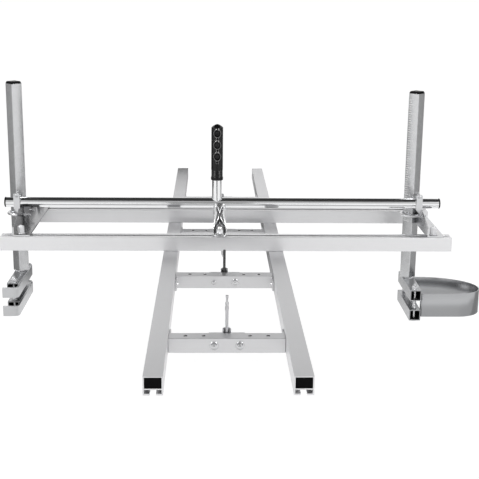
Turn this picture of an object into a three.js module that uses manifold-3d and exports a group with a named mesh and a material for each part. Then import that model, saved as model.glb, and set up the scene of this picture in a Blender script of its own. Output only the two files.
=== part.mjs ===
// Chainsaw mill on its guide ladder, in millimetres, +Z up.
// The origin is the centre of the underside of the third crossbar, which lies on the log.
// +Y runs along the ladder, away from the person who pushes the mill.
import * as THREE from 'three';
import { mergeVertices } from 'three/addons/utils/BufferGeometryUtils.js';
import Module from 'manifold-3d';

const wasm = await Module();
wasm.setup();

// Clearances that every piece shares
const seatGap = 0.3;
const boltHoleClearance = 0.3;
const cutOverrun = 4;

// Extruded aluminium rail, the same section in the ladder and in the mill frame
const railWidth = 30;
const railHeight = 30;
const railSideWall = 2.25;
const railTopWall = 2;
const chamberHeight = 17;
const webThickness = 2.4;
const channelHeight = 5.7;
const slotWidth = 9.2;
const plugDepth = 14;

// Guide ladder
const ladderLength = 1500;
const ladderRailSpacing = 221;
const ladderFrontOverhang = 171;
const crossbarPitch = 323;
const crossbarCount = 4;
const nearerCrossbarCount = 2;
const crossbarSize = 25;
const crossbarWall = 2;
const logScrewHole = 6;
const logScrewInnerOffset = 38;
const logScrewOuterOffset = 67.5;
const lugThickness = 3;
const lugLength = 26;
const lugHeight = 19;
const lugScrewHead = 9;
const lugScrewHeadHeight = 3;

// Rod guides, their bolts and the rods
const guideThickness = 2.5;
const guideWidth = 60;
const guideNeckWidth = 14.6;
const guideNeckRise = 7;
const guideBoltOffset = 21;
const guideBoltDiameter = 6;
const guideBoltHead = 10;
const guideBoltHeadHeight = 4;
const guideWasherDiameter = 14.7;
const guideWasherThickness = 1.3;
const smallBoltHead = 8;
const guideNutHeight = 5;
const rodDiameter = 5.2;
const rodBulgeDiameter = 6.6;
const rodGuideGap = 0.2;
const rodNeckDiameter = 3.4;
const rodTipDiameter = 5;
const rodLength = 72;
const rodPointLength = 8;
const rodTopRaised = 89;
const rodTwoDrop = 24;
const rodRearDrop = 62;

// Mill frame
const millRailLength = 950;
const millRailGap = 200;
const frontRailFaceY = -183;
const millOffsetX = 8;

// Push bar, handle and brace
const pushBarDiameter = 22;
const pushBarWall = 1.5;
const pushBarOverhangLeft = 30;
const pushBarOverhangRight = 39;
const pushBarBehindFace = 90;
const pushBarRise = 53;
const barCapThickness = 2.5;
const barCapPlugDepth = 12;
const stemFromCentre = -22;
const braceFromCentre = -16;
const stemDiameter = 21;
const stemLength = 150;
const gripRise = 34;
const gripLength = 125;
const gripDiameter = 26.5;
const gripCrownHeight = 7;
const gripCrownTip = 9;
const gripRibDepth = 0.8;
const gripRibPitch = 3.2;
const gripRibCount = 4;
const gripCollarHeight = 5;
const dimpleDiameter = 13;
const dimpleDepth = 2.6;
const dimplePitch = 25;
const dimpleRowCount = 3;
const dimpleDrop = 23;
const braceTopWidth = 23;
const braceTopDepth = 17;
const braceFootWidth = 29;
const braceFootThickness = 3.5;
const braceFootLength = 27;
const braceFootInset = 3;
const braceBoltHead = 13;
const braceNutHeight = 6;
const braceNutDome = 5.5;
const braceWasherDiameter = 18;

// End brackets, one at each end of the mill frame
const leftPlateInset = 28;
const rightPlateInset = 51;
const plateThickness = 3;
const flangeWidth = 34;
const flangeThickness = 3;
const bracketInset = 2;
const bracketToeHeight = 20;
const bracketToeLength = 11;
const footBoltOffset = 14;
const footBoltDiameter = 8;
const footNut = 13;
const footNutHeight = 6.5;
const footBoltStub = 3;
const footWasherDiameter = 17;
const washerThickness = 1.6;
const slideHeadLength = 13;
const slideHeadSideGap = 0.8;

// Saddle ears that hold the push bar
const earWidth = 13.5;
const earThickness = 3;
const earTopRise = 11;
const earRootDrop = 13;
const saddleBoltDiameter = 6;
const saddleBoltRise = 6;
const saddleHeadDiameter = 10;
const saddleHeadHeight = 3;
const saddleNut = 9;
const saddleNutHeight = 4;

// Depth posts and the U-bolts round them
const postSize = 25;
const postWall = 2;
const postLength = 417;
const postTurnDegrees = 45;
const postOffset = 12;
const postBehindBar = 38;
const postCapHeight = 5;
const postCapPlugDepth = 14;
const postCapTaper = 3;
const uBoltDiameter = 6;
const uBoltRise = 20;
const uBoltReach = 18;
const uBoltLoopGap = 2;
const uBoltNut = 10;
const uBoltNutHeight = 5;

// Bar clamps
const clampSize = 25;
const clampWall = 2.5;
const clampLength = 136;
const clampFrontGap = 2;
const leftJawGap = 16;
const rightJawGap = 20;
const leftUpperClampTop = -52;
const rightUpperClampTop = -67;
const jawBoltDiameter = 8;
const jawBoltInset = 12;
const jawNut = 13;
const jawNutHeight = 6.5;
const jawBoltStub = 4;
const jawBoltHeadDiameter = 15;
const jawBoltHeadHeight = 5;

// Bent bands of the left clamps
const bandThickness = 4;
const bandReachAhead = 24;
const bandFrontLeg = 32;
const bandReachBehind = 8;
const bandBackLeg = 14;
const bandBendRadius = 9;

// Nose guard of the right clamps
const guardThickness = 2;
const guardHeight = 53;
const guardDepth = 117;
const guardStraight = 75;
const guardBow = 60;
const guardTabLength = 12;
const guardBendRadius = 3;
const guardFrontInset = 2;

// Numbers of sides and steps
const boltSides = 12;
const smoothSides = 24;
const hexSides = 6;
const squareSides = 4;
const bendSteps = 5;
const bowSteps = 18;
const loopSteps = 12;
const rodSides = 10;
const ringSides = 12;

// Heights and places that follow from the sizes above
const stemX = millOffsetX + stemFromCentre;
const braceX = millOffsetX + braceFromCentre;
const leftPlateX = millOffsetX - millRailLength / 2 + leftPlateInset;
const rightPlateX = millOffsetX + millRailLength / 2 - rightPlateInset;
const slotLip = railHeight - railTopWall - chamberHeight - webThickness - channelHeight;
const railCavityWidth = railWidth - 2 * railSideWall;
const millRailBottom = railHeight + seatGap;
const millRailTop = millRailBottom + railHeight;
const frontRailY = frontRailFaceY + railWidth / 2;
const backRailY = frontRailY + railWidth + millRailGap;
const frontRailBackY = frontRailFaceY + railWidth;
const ladderFrontY = -nearerCrossbarCount * crossbarPitch - ladderFrontOverhang;
const crossbarHalf = crossbarSize / 2;
const crossbarLength = ladderRailSpacing - railWidth - 2 * seatGap;
const rodBulgeRadius = rodBulgeDiameter / 2;
const rodBehindCrossbar = crossbarHalf + rodGuideGap + rodBulgeRadius;
const barY = frontRailFaceY + pushBarBehindFace;
const barZ = millRailTop + pushBarRise;
const barRadius = pushBarDiameter / 2;
const barLeft = leftPlateX - pushBarOverhangLeft;
const barRight = rightPlateX + pushBarOverhangRight;
const postY = barY + postBehindBar;
const postCorner = postSize / Math.SQRT2;
const flangeBottom = millRailTop + seatGap;
const flangeTop = flangeBottom + flangeThickness;
const bracketFrontY = frontRailFaceY + bracketInset;
const bracketBackY = backRailY + railWidth / 2 - bracketInset;
const plateTop = barZ - barRadius - seatGap;
const uBoltZ = millRailTop + uBoltRise;
const clampFrontY = frontRailBackY + clampFrontGap;
const clampBackY = clampFrontY + clampLength;
const clampHalf = clampSize / 2;
const jawBoltHole = jawBoltDiameter + 2 * boltHoleClearance;
const jawBoltPlaces = [clampFrontY + jawBoltInset, clampBackY - jawBoltInset];

// Finishes
function finish(color, roughness, metalness) {
  return new THREE.MeshStandardMaterial({ color, roughness, metalness });
}
const aluminium = finish(0xd4d6d9, 0.42, 0.9);
const chrome = finish(0xe2e4e6, 0.08, 1);
const galvanised = finish(0xa9adb0, 0.45, 0.9);
const brightSteel = finish(0xb9bcbf, 0.3, 0.95);
const zincFastener = finish(0xc9cccf, 0.35, 0.9);
const blackPlastic = finish(0x17181a, 0.55, 0);
const blackRubber = finish(0x141416, 0.7, 0);

// Solids from three.js geometry

// Faces that a profile drawn the other way round turned inwards are turned out again.
function facingOut(positions, triangles) {
  const corner = [new THREE.Vector3(), new THREE.Vector3(), new THREE.Vector3()];
  let volume = 0;
  for (let i = 0; i < triangles.length; i += 3) {
    corner.forEach((point, k) => point.fromArray(positions, 3 * triangles[i + k]));
    volume += corner[0].dot(corner[1].cross(corner[2]));
  }
  return volume > 0 ? triangles : triangles.reverse();
}

function solidFrom(geometry) {
  const bare = geometry.clone();
  bare.deleteAttribute('normal');
  bare.deleteAttribute('uv');
  const merged = mergeVertices(bare);
  const positions = merged.attributes.position.array;
  const kept = [];
  for (let i = 0; i < merged.index.count; i += 3) {
    const [a, b, c] = [merged.index.getX(i), merged.index.getX(i + 1), merged.index.getX(i + 2)];
    if (a !== b && b !== c && c !== a) kept.push(a, b, c);
  }
  const triVerts = Uint32Array.from(facingOut(positions, kept));
  return new wasm.Manifold(new wasm.Mesh({ numProp: 3, vertProperties: positions, triVerts }));
}

function geometryFrom(solid) {
  const mesh = solid.getMesh();
  const geometry = new THREE.BufferGeometry();
  geometry.setAttribute('position', new THREE.BufferAttribute(mesh.vertProperties, 3));
  geometry.setIndex(new THREE.BufferAttribute(mesh.triVerts, 1));
  geometry.computeVertexNormals();
  return geometry;
}

function block([x0, x1], [y0, y1], [z0, z1]) {
  const geometry = new THREE.BoxGeometry(x1 - x0, y1 - y0, z1 - z0);
  geometry.translate((x0 + x1) / 2, (y0 + y1) / 2, (z0 + z1) / 2);
  return solidFrom(geometry);
}

// A round bar, a cone or a prism between two points, its radius at each end
function between(from, to, radiusFrom, radiusTo = radiusFrom, sides = boltSides) {
  const start = new THREE.Vector3(...from);
  const run = new THREE.Vector3(...to).sub(start);
  const geometry = new THREE.CylinderGeometry(radiusTo, radiusFrom, run.length(), sides);
  const turn = new THREE.Quaternion().setFromUnitVectors(
    new THREE.Vector3(0, 1, 0), run.clone().normalize());
  geometry.applyQuaternion(turn);
  geometry.translate(...start.addScaledVector(run, 1 / 2).toArray());
  return solidFrom(geometry);
}

function hexBetween(from, to, acrossFlats) {
  const radius = acrossFlats / 2 / Math.cos(Math.PI / hexSides);
  return between(from, to, radius, radius, hexSides);
}

// An outline drawn in one plane and carried along the axis that crosses it
function extruded(shape, plane, start, end) {
  const geometry = new THREE.ExtrudeGeometry(shape, { depth: end - start, bevelEnabled: false });
  const axes = {
    xy: [[1, 0, 0], [0, 1, 0], [0, 0, 1], start],
    yz: [[0, 1, 0], [0, 0, 1], [1, 0, 0], start],
    xz: [[1, 0, 0], [0, 0, 1], [0, -1, 0], -end],
  }[plane];
  const [u, v, w] = axes.slice(0, 3).map((axis) => new THREE.Vector3(...axis));
  geometry.applyMatrix4(new THREE.Matrix4().makeBasis(u, v, w));
  geometry.translate(...w.multiplyScalar(axes[3]).toArray());
  return solidFrom(geometry);
}

function outline(points) {
  return new THREE.Shape(points.map(([u, v]) => new THREE.Vector2(u, v)));
}

function squareTube(size, wall) {
  const half = size / 2;
  const inner = half - wall;
  const shape = outline([[-half, -half], [half, -half], [half, half], [-half, half]]);
  shape.holes.push(outline([[-inner, -inner], [-inner, inner], [inner, inner], [inner, -inner]]));
  return shape;
}

// A profile of radius and height turned round the vertical axis
function turned(profile, sides = smoothSides) {
  const points = profile.map(([radius, height]) => new THREE.Vector2(radius, height));
  const geometry = new THREE.LatheGeometry(points, sides);
  geometry.rotateX(Math.PI / 2);
  return solidFrom(geometry);
}

// A skin over rings of equal size, closed at both ends
function lofted(rings) {
  const sides = rings[0].length;
  const index = [];
  for (let r = 0; r + 1 < rings.length; r += 1) {
    for (let k = 0; k < sides; k += 1) {
      const [a, b] = [r * sides + k, r * sides + ((k + 1) % sides)];
      index.push(a, b, b + sides, a, b + sides, a + sides);
    }
  }
  const last = (rings.length - 1) * sides;
  for (let k = 1; k + 1 < sides; k += 1) {
    index.push(0, k + 1, k, last, last + k, last + k + 1);
  }
  const geometry = new THREE.BufferGeometry().setFromPoints(rings.flat());
  geometry.setIndex(index);
  return solidFrom(geometry);
}

// Corner points joined by straight runs, with each inner corner bent to a radius
function bentLine(corners, radius) {
  const points = corners.map(([x, y]) => new THREE.Vector2(x, y));
  const line = [points[0]];
  for (let i = 1; i + 1 < points.length; i += 1) {
    const before = points[i - 1].clone().sub(points[i]).normalize();
    const after = points[i + 1].clone().sub(points[i]).normalize();
    const half = Math.acos(before.dot(after)) / 2;
    const start = points[i].clone().addScaledVector(before, radius / Math.tan(half));
    const end = points[i].clone().addScaledVector(after, radius / Math.tan(half));
    const curve = new THREE.QuadraticBezierCurve(start, points[i], end);
    line.push(...curve.getPoints(bendSteps));
  }
  line.push(points[points.length - 1]);
  return line;
}

// A strip of one thickness along a line
function strip(line, thickness) {
  const sides = [[], []];
  line.forEach((point, i) => {
    const before = point.clone().sub(line[Math.max(i - 1, 0)]).normalize();
    const after = line[Math.min(i + 1, line.length - 1)].clone().sub(point).normalize();
    const along = before.clone().add(after).normalize();
    const across = new THREE.Vector2(-along.y, along.x);
    const lean = i === 0 || i === line.length - 1 ? 1 : across.dot(new THREE.Vector2(-after.y, after.x));
    const reach = thickness / 2 / lean;
    sides[0].push(point.clone().addScaledVector(across, reach));
    sides[1].push(point.clone().addScaledVector(across, -reach));
  });
  return new THREE.Shape([...sides[0], ...sides[1].reverse()]);
}

function joined(solids) {
  return solids.reduce((whole, piece) => whole.add(piece));
}

// The object and its named pieces
const mill = new THREE.Group();

function addPiece(name, solid, material, place = [0, 0, 0]) {
  const mesh = new THREE.Mesh(geometryFrom(solid), material);
  mesh.name = name;
  mesh.position.set(...place);
  mill.add(mesh);
}

// Rail section with its closed chamber, and its T-slot towards the height's zero
function railSection(slotUp) {
  const half = railWidth / 2;
  const cavity = railCavityWidth / 2;
  const slot = slotWidth / 2;
  const channelTop = slotLip + channelHeight;
  const chamberBottom = channelTop + webThickness;
  const chamberTop = chamberBottom + chamberHeight;
  const side = (height) => (slotUp ? railHeight - height : height);
  const placed = (points) => outline(points.map(([u, v]) => [u, side(v)]));
  const shape = placed([
    [-half, 0], [-slot, 0], [-slot, slotLip], [-cavity, slotLip], [-cavity, channelTop],
    [cavity, channelTop], [cavity, slotLip], [slot, slotLip], [slot, 0], [half, 0],
    [half, railHeight], [-half, railHeight],
  ]);
  shape.holes.push(placed([
    [-cavity, chamberBottom], [-cavity, chamberTop], [cavity, chamberTop], [cavity, chamberBottom],
  ]));
  return shape;
}

function addLadderRails() {
  const rail = extruded(railSection(false), 'xz', ladderFrontY, ladderFrontY + ladderLength);
  const plugHalf = railCavityWidth / 2 - seatGap;
  const plugTop = railHeight - railTopWall - seatGap;
  const plugBottom = railHeight - railTopWall - chamberHeight + seatGap;
  const plug = block([-plugHalf, plugHalf], [0, plugDepth], [plugBottom, plugTop]);
  for (const [side, sign] of [['left', -1], ['right', 1]]) {
    const x = sign * ladderRailSpacing / 2;
    addPiece(`ladder_rail_${side}`, rail, aluminium, [x, 0, 0]);
    addPiece(`rail_plug_front_${side}`, plug, blackPlastic, [x, ladderFrontY, 0]);
    const backY = ladderFrontY + ladderLength - plugDepth;
    addPiece(`rail_plug_back_${side}`, plug, blackPlastic, [x, backY, 0]);
  }
}

// Square tube with log-screw holes, bolt holes and an end lug that lies on each rail
function crossbar(lugSign) {
  const end = crossbarLength / 2;
  let bar = extruded(squareTube(crossbarSize, crossbarWall), 'yz', -end, end)
    .translate(0, 0, crossbarHalf);
  for (const sign of [-1, 1]) {
    for (const offset of [logScrewInnerOffset, logScrewOuterOffset]) {
      const x = sign * offset;
      bar = bar.subtract(between([x, 0, -cutOverrun], [x, 0, crossbarSize + cutOverrun], logScrewHole / 2));
    }
    const x = sign * guideBoltOffset;
    const reach = crossbarHalf + cutOverrun;
    const radius = guideBoltDiameter / 2 + boltHoleClearance;
    bar = bar.subtract(between([x, -reach, crossbarHalf], [x, reach, crossbarHalf], radius));
    bar = bar.add(endLug(sign * end, -sign, lugSign));
  }
  return bar;
}

function endLug(endX, inward, lugSign) {
  const rootY = lugSign * (crossbarHalf - crossbarWall);
  const tipY = lugSign * (crossbarHalf + lugLength);
  const spanX = [endX, endX + inward * lugThickness].sort((a, b) => a - b);
  const spanY = [rootY, tipY].sort((a, b) => a - b);
  const lowZ = crossbarHalf - lugHeight / 2;
  const screwY = lugSign * (crossbarHalf + lugLength / 2);
  const headX = endX + inward * (lugThickness + lugScrewHeadHeight);
  return joined([
    block(spanX, spanY, [lowZ, lowZ + lugHeight]),
    between([endX + inward * lugThickness / 2, screwY, crossbarHalf], [headX, screwY, crossbarHalf],
      lugScrewHead / 2, lugScrewHead / 4),
  ]);
}

// Plate behind the crossbar whose upright crease holds the rod
function rodGuide() {
  const inner = crossbarHalf + seatGap;
  const outer = inner + guideThickness;
  const innerApex = rodBehindCrossbar + (rodBulgeRadius + rodGuideGap) * Math.SQRT2;
  const outerApex = innerApex + guideThickness * Math.SQRT2;
  const half = guideWidth / 2;
  const neck = guideNeckWidth / 2;
  const plan = outline([
    [-half, inner], [inner - innerApex, inner], [0, innerApex], [innerApex - inner, inner], [half, inner],
    [half, outer], [outerApex - outer, outer], [0, outerApex], [outer - outerApex, outer], [-half, outer],
  ]);
  const neckTop = crossbarSize + guideNeckRise;
  const front = outline([
    [-half, 0], [half, 0], [half, crossbarSize], [neck, crossbarSize], [neck, neckTop],
    [-neck, neckTop], [-neck, crossbarSize], [-half, crossbarSize],
  ]);
  let guide = extruded(plan, 'xy', 0, neckTop).intersect(extruded(front, 'xz', 0, outerApex));
  for (const x of [-guideBoltOffset, guideBoltOffset]) {
    const radius = guideBoltDiameter / 2 + boltHoleClearance;
    guide = guide.subtract(between([x, 0, crossbarHalf], [x, outerApex + cutOverrun, crossbarHalf], radius));
  }
  return guide;
}

// Bolt through a crossbar and its guide, head and washer in front, nut behind
function guideBolt(headSize, hasWasher) {
  const face = -crossbarHalf - seatGap;
  const washerFront = face - (hasWasher ? guideWasherThickness : 0);
  const nutStart = crossbarHalf + guideThickness + 2 * seatGap;
  const nutEnd = nutStart + guideNutHeight;
  const z = crossbarHalf;
  const pieces = [
    between([0, washerFront, z], [0, nutEnd + guideBoltDiameter / 4, z], guideBoltDiameter / 2),
    hexBetween([0, washerFront - guideBoltHeadHeight, z], [0, washerFront, z], headSize),
    hexBetween([0, nutStart, z], [0, nutEnd, z], guideBoltHead),
  ];
  if (hasWasher) pieces.push(between([0, washerFront, z], [0, face, z], guideWasherDiameter / 2));
  return joined(pieces);
}

// Steel rod: point, shank, two swells, neck and flared tip, with its top at zero height
function rod() {
  const swellShare = { start: 0.39, waist: 0.25, end: 0.15, neck: 0.12 };
  const shank = rodDiameter / 2;
  const neck = rodNeckDiameter / 2;
  const at = (share) => -share * rodLength;
  const middle = (a, b) => (at(a) + at(b)) / 2;
  return turned([
    [0, -rodLength], [shank, rodPointLength - rodLength], [shank, at(swellShare.start)],
    [rodBulgeRadius, middle(swellShare.start, swellShare.waist)], [shank, at(swellShare.waist)],
    [rodBulgeRadius, middle(swellShare.waist, swellShare.end)], [neck, at(swellShare.end)],
    [neck, at(swellShare.neck)], [rodTipDiameter / 2, 0], [0, 0],
  ], rodSides);
}

function addCrossbars() {
  const rearLugs = crossbar(1);
  const frontLugs = crossbar(-1);
  const guide = rodGuide();
  const plainBolt = guideBolt(guideBoltHead, true);
  const smallBolt = guideBolt(smallBoltHead, false);
  const steelRod = rod();
  for (let i = 0; i < crossbarCount; i += 1) {
    const number = i + 1;
    const y = (i - nearerCrossbarCount) * crossbarPitch;
    const drop = i === 0 ? 0 : i === 1 ? rodTwoDrop : rodRearDrop;
    addPiece(`crossbar_${number}`, i === 1 ? frontLugs : rearLugs, aluminium, [0, y, 0]);
    addPiece(`rod_guide_${number}`, guide, galvanised, [0, y, 0]);
    const leftBolt = i === 1 ? smallBolt : plainBolt;
    addPiece(`guide_bolt_${number}_left`, leftBolt, zincFastener, [-guideBoltOffset, y, 0]);
    addPiece(`guide_bolt_${number}_right`, plainBolt, zincFastener, [guideBoltOffset, y, 0]);
    addPiece(`log_rod_${number}`, steelRod, zincFastener, [0, y + rodBehindCrossbar, rodTopRaised - drop]);
  }
}

function addMillRails() {
  const rail = extruded(railSection(true), 'yz', -millRailLength / 2, millRailLength / 2);
  addPiece('front_rail', rail, aluminium, [millOffsetX, frontRailY, millRailBottom]);
  addPiece('back_rail', rail, aluminium, [millOffsetX, backRailY, millRailBottom]);
}

function addPushBar() {
  const outside = between([barLeft, barY, barZ], [barRight, barY, barZ], barRadius, barRadius, smoothSides);
  const bore = barRadius - pushBarWall;
  const inside = between([barLeft - cutOverrun, barY, barZ], [barRight + cutOverrun, barY, barZ],
    bore, bore, smoothSides);
  addPiece('push_bar', outside.subtract(inside), chrome);
  for (const [side, x, sign] of [['left', barLeft, -1], ['right', barRight, 1]]) {
    const face = x + sign * seatGap;
    addPiece(`push_bar_cap_${side}`, joined([
      between([face, barY, barZ], [face + sign * barCapThickness, barY, barZ],
        barRadius, barRadius, smoothSides),
      between([face - sign * barCapPlugDepth, barY, barZ], [face, barY, barZ],
        bore - seatGap, bore - seatGap, smoothSides),
    ]), blackPlastic);
  }
}

function barCutter(x) {
  const radius = barRadius + seatGap;
  return between([x - pushBarDiameter, barY, barZ], [x + pushBarDiameter, barY, barZ],
    radius, radius, smoothSides);
}

function addHandle() {
  const radius = stemDiameter / 2;
  const stem = between([stemX, barY, barZ], [stemX, barY, barZ + stemLength], radius, radius, smoothSides);
  addPiece('handle_stem', stem.subtract(barCutter(stemX)), chrome);
  addPiece('handle_grip', grip(), blackRubber, [stemX, barY, barZ + barRadius + gripRise]);
}

// Rubber sleeve, closed at the top, with a collar, fine ribs and finger dimples
function grip() {
  const radius = gripDiameter / 2;
  const bore = stemDiameter / 2 + seatGap;
  const boreTop = stemLength - barRadius - gripRise + seatGap;
  const profile = [[0, boreTop], [bore, boreTop], [bore, 0], [radius, 0], [radius, gripCollarHeight]];
  for (let i = 0; i < gripRibCount; i += 1) {
    const low = gripCollarHeight + i * gripRibPitch;
    profile.push([radius - gripRibDepth, low + gripRibPitch / 4], [radius, low + gripRibPitch / 2],
      [radius, low + gripRibPitch]);
  }
  profile.push([radius, gripLength - gripCrownHeight], [gripCrownTip, gripLength - gripCrownHeight / 2],
    [0, gripLength]);
  let sleeve = turned(profile);
  const ball = (dimpleDiameter ** 2 / 4 + dimpleDepth ** 2) / (2 * dimpleDepth);
  for (let row = 0; row < dimpleRowCount; row += 1) {
    const height = gripLength - dimpleDrop - row * dimplePitch;
    for (const [dx, dy] of [[0, -1], [0, 1], [1, 0], [-1, 0]]) {
      const away = radius - dimpleDepth + ball;
      const hollow = new THREE.SphereGeometry(ball, ringSides, ringSides / 2);
      hollow.translate(dx * away, dy * away, height);
      sleeve = sleeve.subtract(solidFrom(hollow));
    }
  }
  return sleeve;
}

// A rounded ring across the brace, between round and flat
function braceRing([y, z], [alongY, alongZ], halfWidth, halfDepth, squareness) {
  const ring = [];
  for (let k = 0; k < ringSides; k += 1) {
    const angle = 2 * Math.PI * k / ringSides;
    const [c, s] = [Math.cos(angle), Math.sin(angle)];
    const across = halfWidth * Math.sign(c) * Math.abs(c) ** squareness;
    const up = halfDepth * Math.sign(s) * Math.abs(s) ** squareness;
    ring.push(new THREE.Vector3(braceX + across, y - alongZ * up, z + alongY * up));
  }
  return ring;
}

// Chromed tube, round under the push bar and pressed flat to a foot on the front rail
function brace() {
  const stationShares = [0.1, 0.34, 0.55, 0.78, 1];
  const flatShares = [0, 0.25, 0.7, 0.95, 1];
  const squareShares = [1, 0.9, 0.6, 0.4, 0.3];
  const footZ = flangeBottom + braceFootThickness / 2;
  const footFront = frontRailFaceY + braceFootInset;
  const bend = [footFront + braceFootLength, footZ];
  const slope = new THREE.Vector2(bend[0] - barY, bend[1] - barZ).normalize();
  const rings = stationShares.map((share, i) => {
    const place = [barY + share * (bend[0] - barY), barZ + share * (bend[1] - barZ)];
    const last = i === stationShares.length - 1;
    const along = last ? slope.clone().add(new THREE.Vector2(-1, 0)).normalize() : slope;
    const width = THREE.MathUtils.lerp(braceTopWidth, braceFootWidth, flatShares[i]);
    const depth = THREE.MathUtils.lerp(braceTopDepth, braceFootThickness, flatShares[i]);
    return braceRing(place, [along.x, along.y], width / 2, depth / 2, squareShares[i]);
  });
  rings.push(braceRing([footFront, footZ], [-1, 0], braceFootWidth / 2, braceFootThickness / 2,
    squareShares[stationShares.length - 1]));
  const holeRadius = footBoltDiameter / 2 + boltHoleClearance;
  const hole = between([braceX, frontRailY, footZ - braceFootThickness],
    [braceX, frontRailY, footZ + braceFootThickness], holeRadius);
  return lofted(rings).subtract(barCutter(braceX)).subtract(hole);
}

// Bolt whose slide head runs in a rail's T-slot, with its washer and nut, on a foot of one thickness
function slotBolt(footThickness, washerDiameter, nutSize, nutHeight, stub) {
  const cavityHalf = railCavityWidth / 2 - slideHeadSideGap;
  const channelFloor = millRailTop - slotLip - channelHeight;
  const footTop = flangeBottom + footThickness + seatGap;
  const nutBottom = footTop + washerThickness;
  const headHalf = slideHeadLength / 2;
  return joined([
    block([-headHalf, headHalf], [-cavityHalf, cavityHalf],
      [channelFloor + seatGap, channelFloor + channelHeight - seatGap]),
    between([0, 0, channelFloor + channelHeight / 2], [0, 0, nutBottom + nutHeight + stub],
      footBoltDiameter / 2),
    between([0, 0, footTop], [0, 0, nutBottom], washerDiameter / 2),
    hexBetween([0, 0, nutBottom], [0, 0, nutBottom + nutHeight], nutSize),
  ]);
}

function addBrace() {
  addPiece('handle_brace', brace(), chrome);
  const bolt = slotBolt(braceFootThickness, braceWasherDiameter, braceBoltHead, braceNutHeight, 0);
  const domeBase = flangeBottom + braceFootThickness + seatGap + washerThickness + braceNutHeight;
  const dome = new THREE.SphereGeometry(braceNutDome, ringSides, ringSides / 2);
  dome.translate(0, 0, domeBase);
  addPiece('brace_bolt', bolt.add(solidFrom(dome)), zincFastener, [braceX, frontRailY, 0]);
}

// Upright ear of a bracket, bent out of its plate beside the push bar, in the bracket's own X
function saddleEar(nearY, farY, isRound) {
  const right = plateThickness / 2;
  const left = right - earWidth;
  const top = barZ + barRadius + earTopRise;
  const root = plateTop - earRootDrop;
  const corner = isRound ? earWidth / 2 : earThickness;
  const shape = new THREE.Shape();
  shape.moveTo(right, root);
  shape.lineTo(right, top - corner);
  shape.absarc(right - corner, top - corner, corner, 0, Math.PI / 2, false);
  shape.absarc(left + corner, top - corner, corner, Math.PI / 2, Math.PI, false);
  shape.lineTo(left, plateTop);
  shape.lineTo(-right, root);
  return extruded(shape, 'xz', nearY, farY);
}

function earBoltX() {
  return plateThickness / 2 - earWidth / 2;
}

// Bent steel bracket: foot flange across both rails, creased plate that seats the post, two ears
function endBracket() {
  const half = plateThickness / 2;
  const earFront = barY - barRadius - seatGap;
  const earBack = barY + barRadius + seatGap;
  const seat = postCorner + seatGap * Math.SQRT2 - postOffset;
  const outer = seat + plateThickness * Math.SQRT2;
  const plan = outline([
    [-half, bracketFrontY], [-half, postY - seat - half], [seat, postY], [-half, postY + seat + half],
    [-half, bracketBackY], [half, bracketBackY], [half, postY + outer - half], [outer, postY],
    [half, postY - outer + half], [half, bracketFrontY],
  ]);
  const toeTop = flangeBottom + bracketToeHeight;
  const side = outline([
    [bracketFrontY, flangeBottom], [bracketBackY, flangeBottom], [bracketBackY, toeTop],
    [bracketBackY - bracketToeLength, toeTop], [postY + postCorner, plateTop],
    [earFront - earThickness, plateTop], [bracketFrontY + bracketToeLength, toeTop], [bracketFrontY, toeTop],
  ]);
  const plate = extruded(plan, 'xy', flangeBottom, plateTop).intersect(extruded(side, 'yz', -half, outer));
  const flange = block([-half, flangeWidth], [bracketFrontY, bracketBackY], [flangeBottom, flangeTop]);
  const ears = [
    saddleEar(earFront - earThickness, earFront, false), saddleEar(earBack, earBack + earThickness, true),
  ];
  return joined([plate, flange, ...ears]).subtract(bracketCuts());
}

// Everything that passes through a bracket: post, foot bolts, U-bolt legs and saddle bolt
function bracketCuts() {
  const postRoom = postCorner + seatGap * Math.SQRT2;
  const low = flangeBottom - cutOverrun;
  const cuts = [between([-postOffset, postY, low], [-postOffset, postY, plateTop + cutOverrun],
    postRoom, postRoom, squareSides)];
  for (const y of [frontRailY, backRailY]) {
    cuts.push(between([footBoltOffset, y, low], [footBoltOffset, y, flangeTop + cutOverrun],
      footBoltDiameter / 2 + boltHoleClearance));
  }
  for (const y of uBoltLegs()) {
    cuts.push(between([-plateThickness - cutOverrun, y, uBoltZ], [plateThickness + cutOverrun, y, uBoltZ],
      uBoltDiameter / 2 + boltHoleClearance));
  }
  const reach = barRadius + earThickness + cutOverrun;
  const boltZ = barZ + barRadius + saddleBoltRise;
  cuts.push(between([earBoltX(), barY - reach, boltZ], [earBoltX(), barY + reach, boltZ],
    saddleBoltDiameter / 2 + boltHoleClearance));
  return joined(cuts);
}

function uBoltLegs() {
  const spread = postCorner + uBoltLoopGap / 2 + uBoltDiameter / 2;
  return [postY - spread, postY + spread];
}

// Round bar bent round the post, through the plate, with washers and nuts behind it
function uBolt() {
  const [frontLeg, backLeg] = uBoltLegs();
  const loop = (backLeg - frontLeg) / 2;
  const stations = [[uBoltReach, frontLeg, 1, 0]];
  for (let k = 0; k <= loopSteps; k += 1) {
    const angle = Math.PI * k / loopSteps;
    const [x, y] = [-postOffset - loop * Math.sin(angle), postY - loop * Math.cos(angle)];
    stations.push([x, y, Math.cos(angle), Math.sin(angle)]);
  }
  stations.push([uBoltReach, backLeg, -1, 0]);
  const radius = uBoltDiameter / 2;
  const rings = stations.map(([x, y, alongX, alongY]) => {
    const ring = [];
    for (let k = 0; k < rodSides; k += 1) {
      const angle = 2 * Math.PI * k / rodSides;
      const side = radius * Math.cos(angle);
      ring.push(new THREE.Vector3(x + alongY * side, y - alongX * side, uBoltZ + radius * Math.sin(angle)));
    }
    return ring;
  });
  const nutStart = plateThickness / 2 + seatGap + washerThickness;
  const nuts = [frontLeg, backLeg].flatMap((y) => [
    between([plateThickness / 2 + seatGap, y, uBoltZ], [nutStart, y, uBoltZ], uBoltNut / 2),
    hexBetween([nutStart, y, uBoltZ], [nutStart + uBoltNutHeight, y, uBoltZ], uBoltNut),
  ]);
  return joined([lofted(rings), ...nuts]);
}

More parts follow.
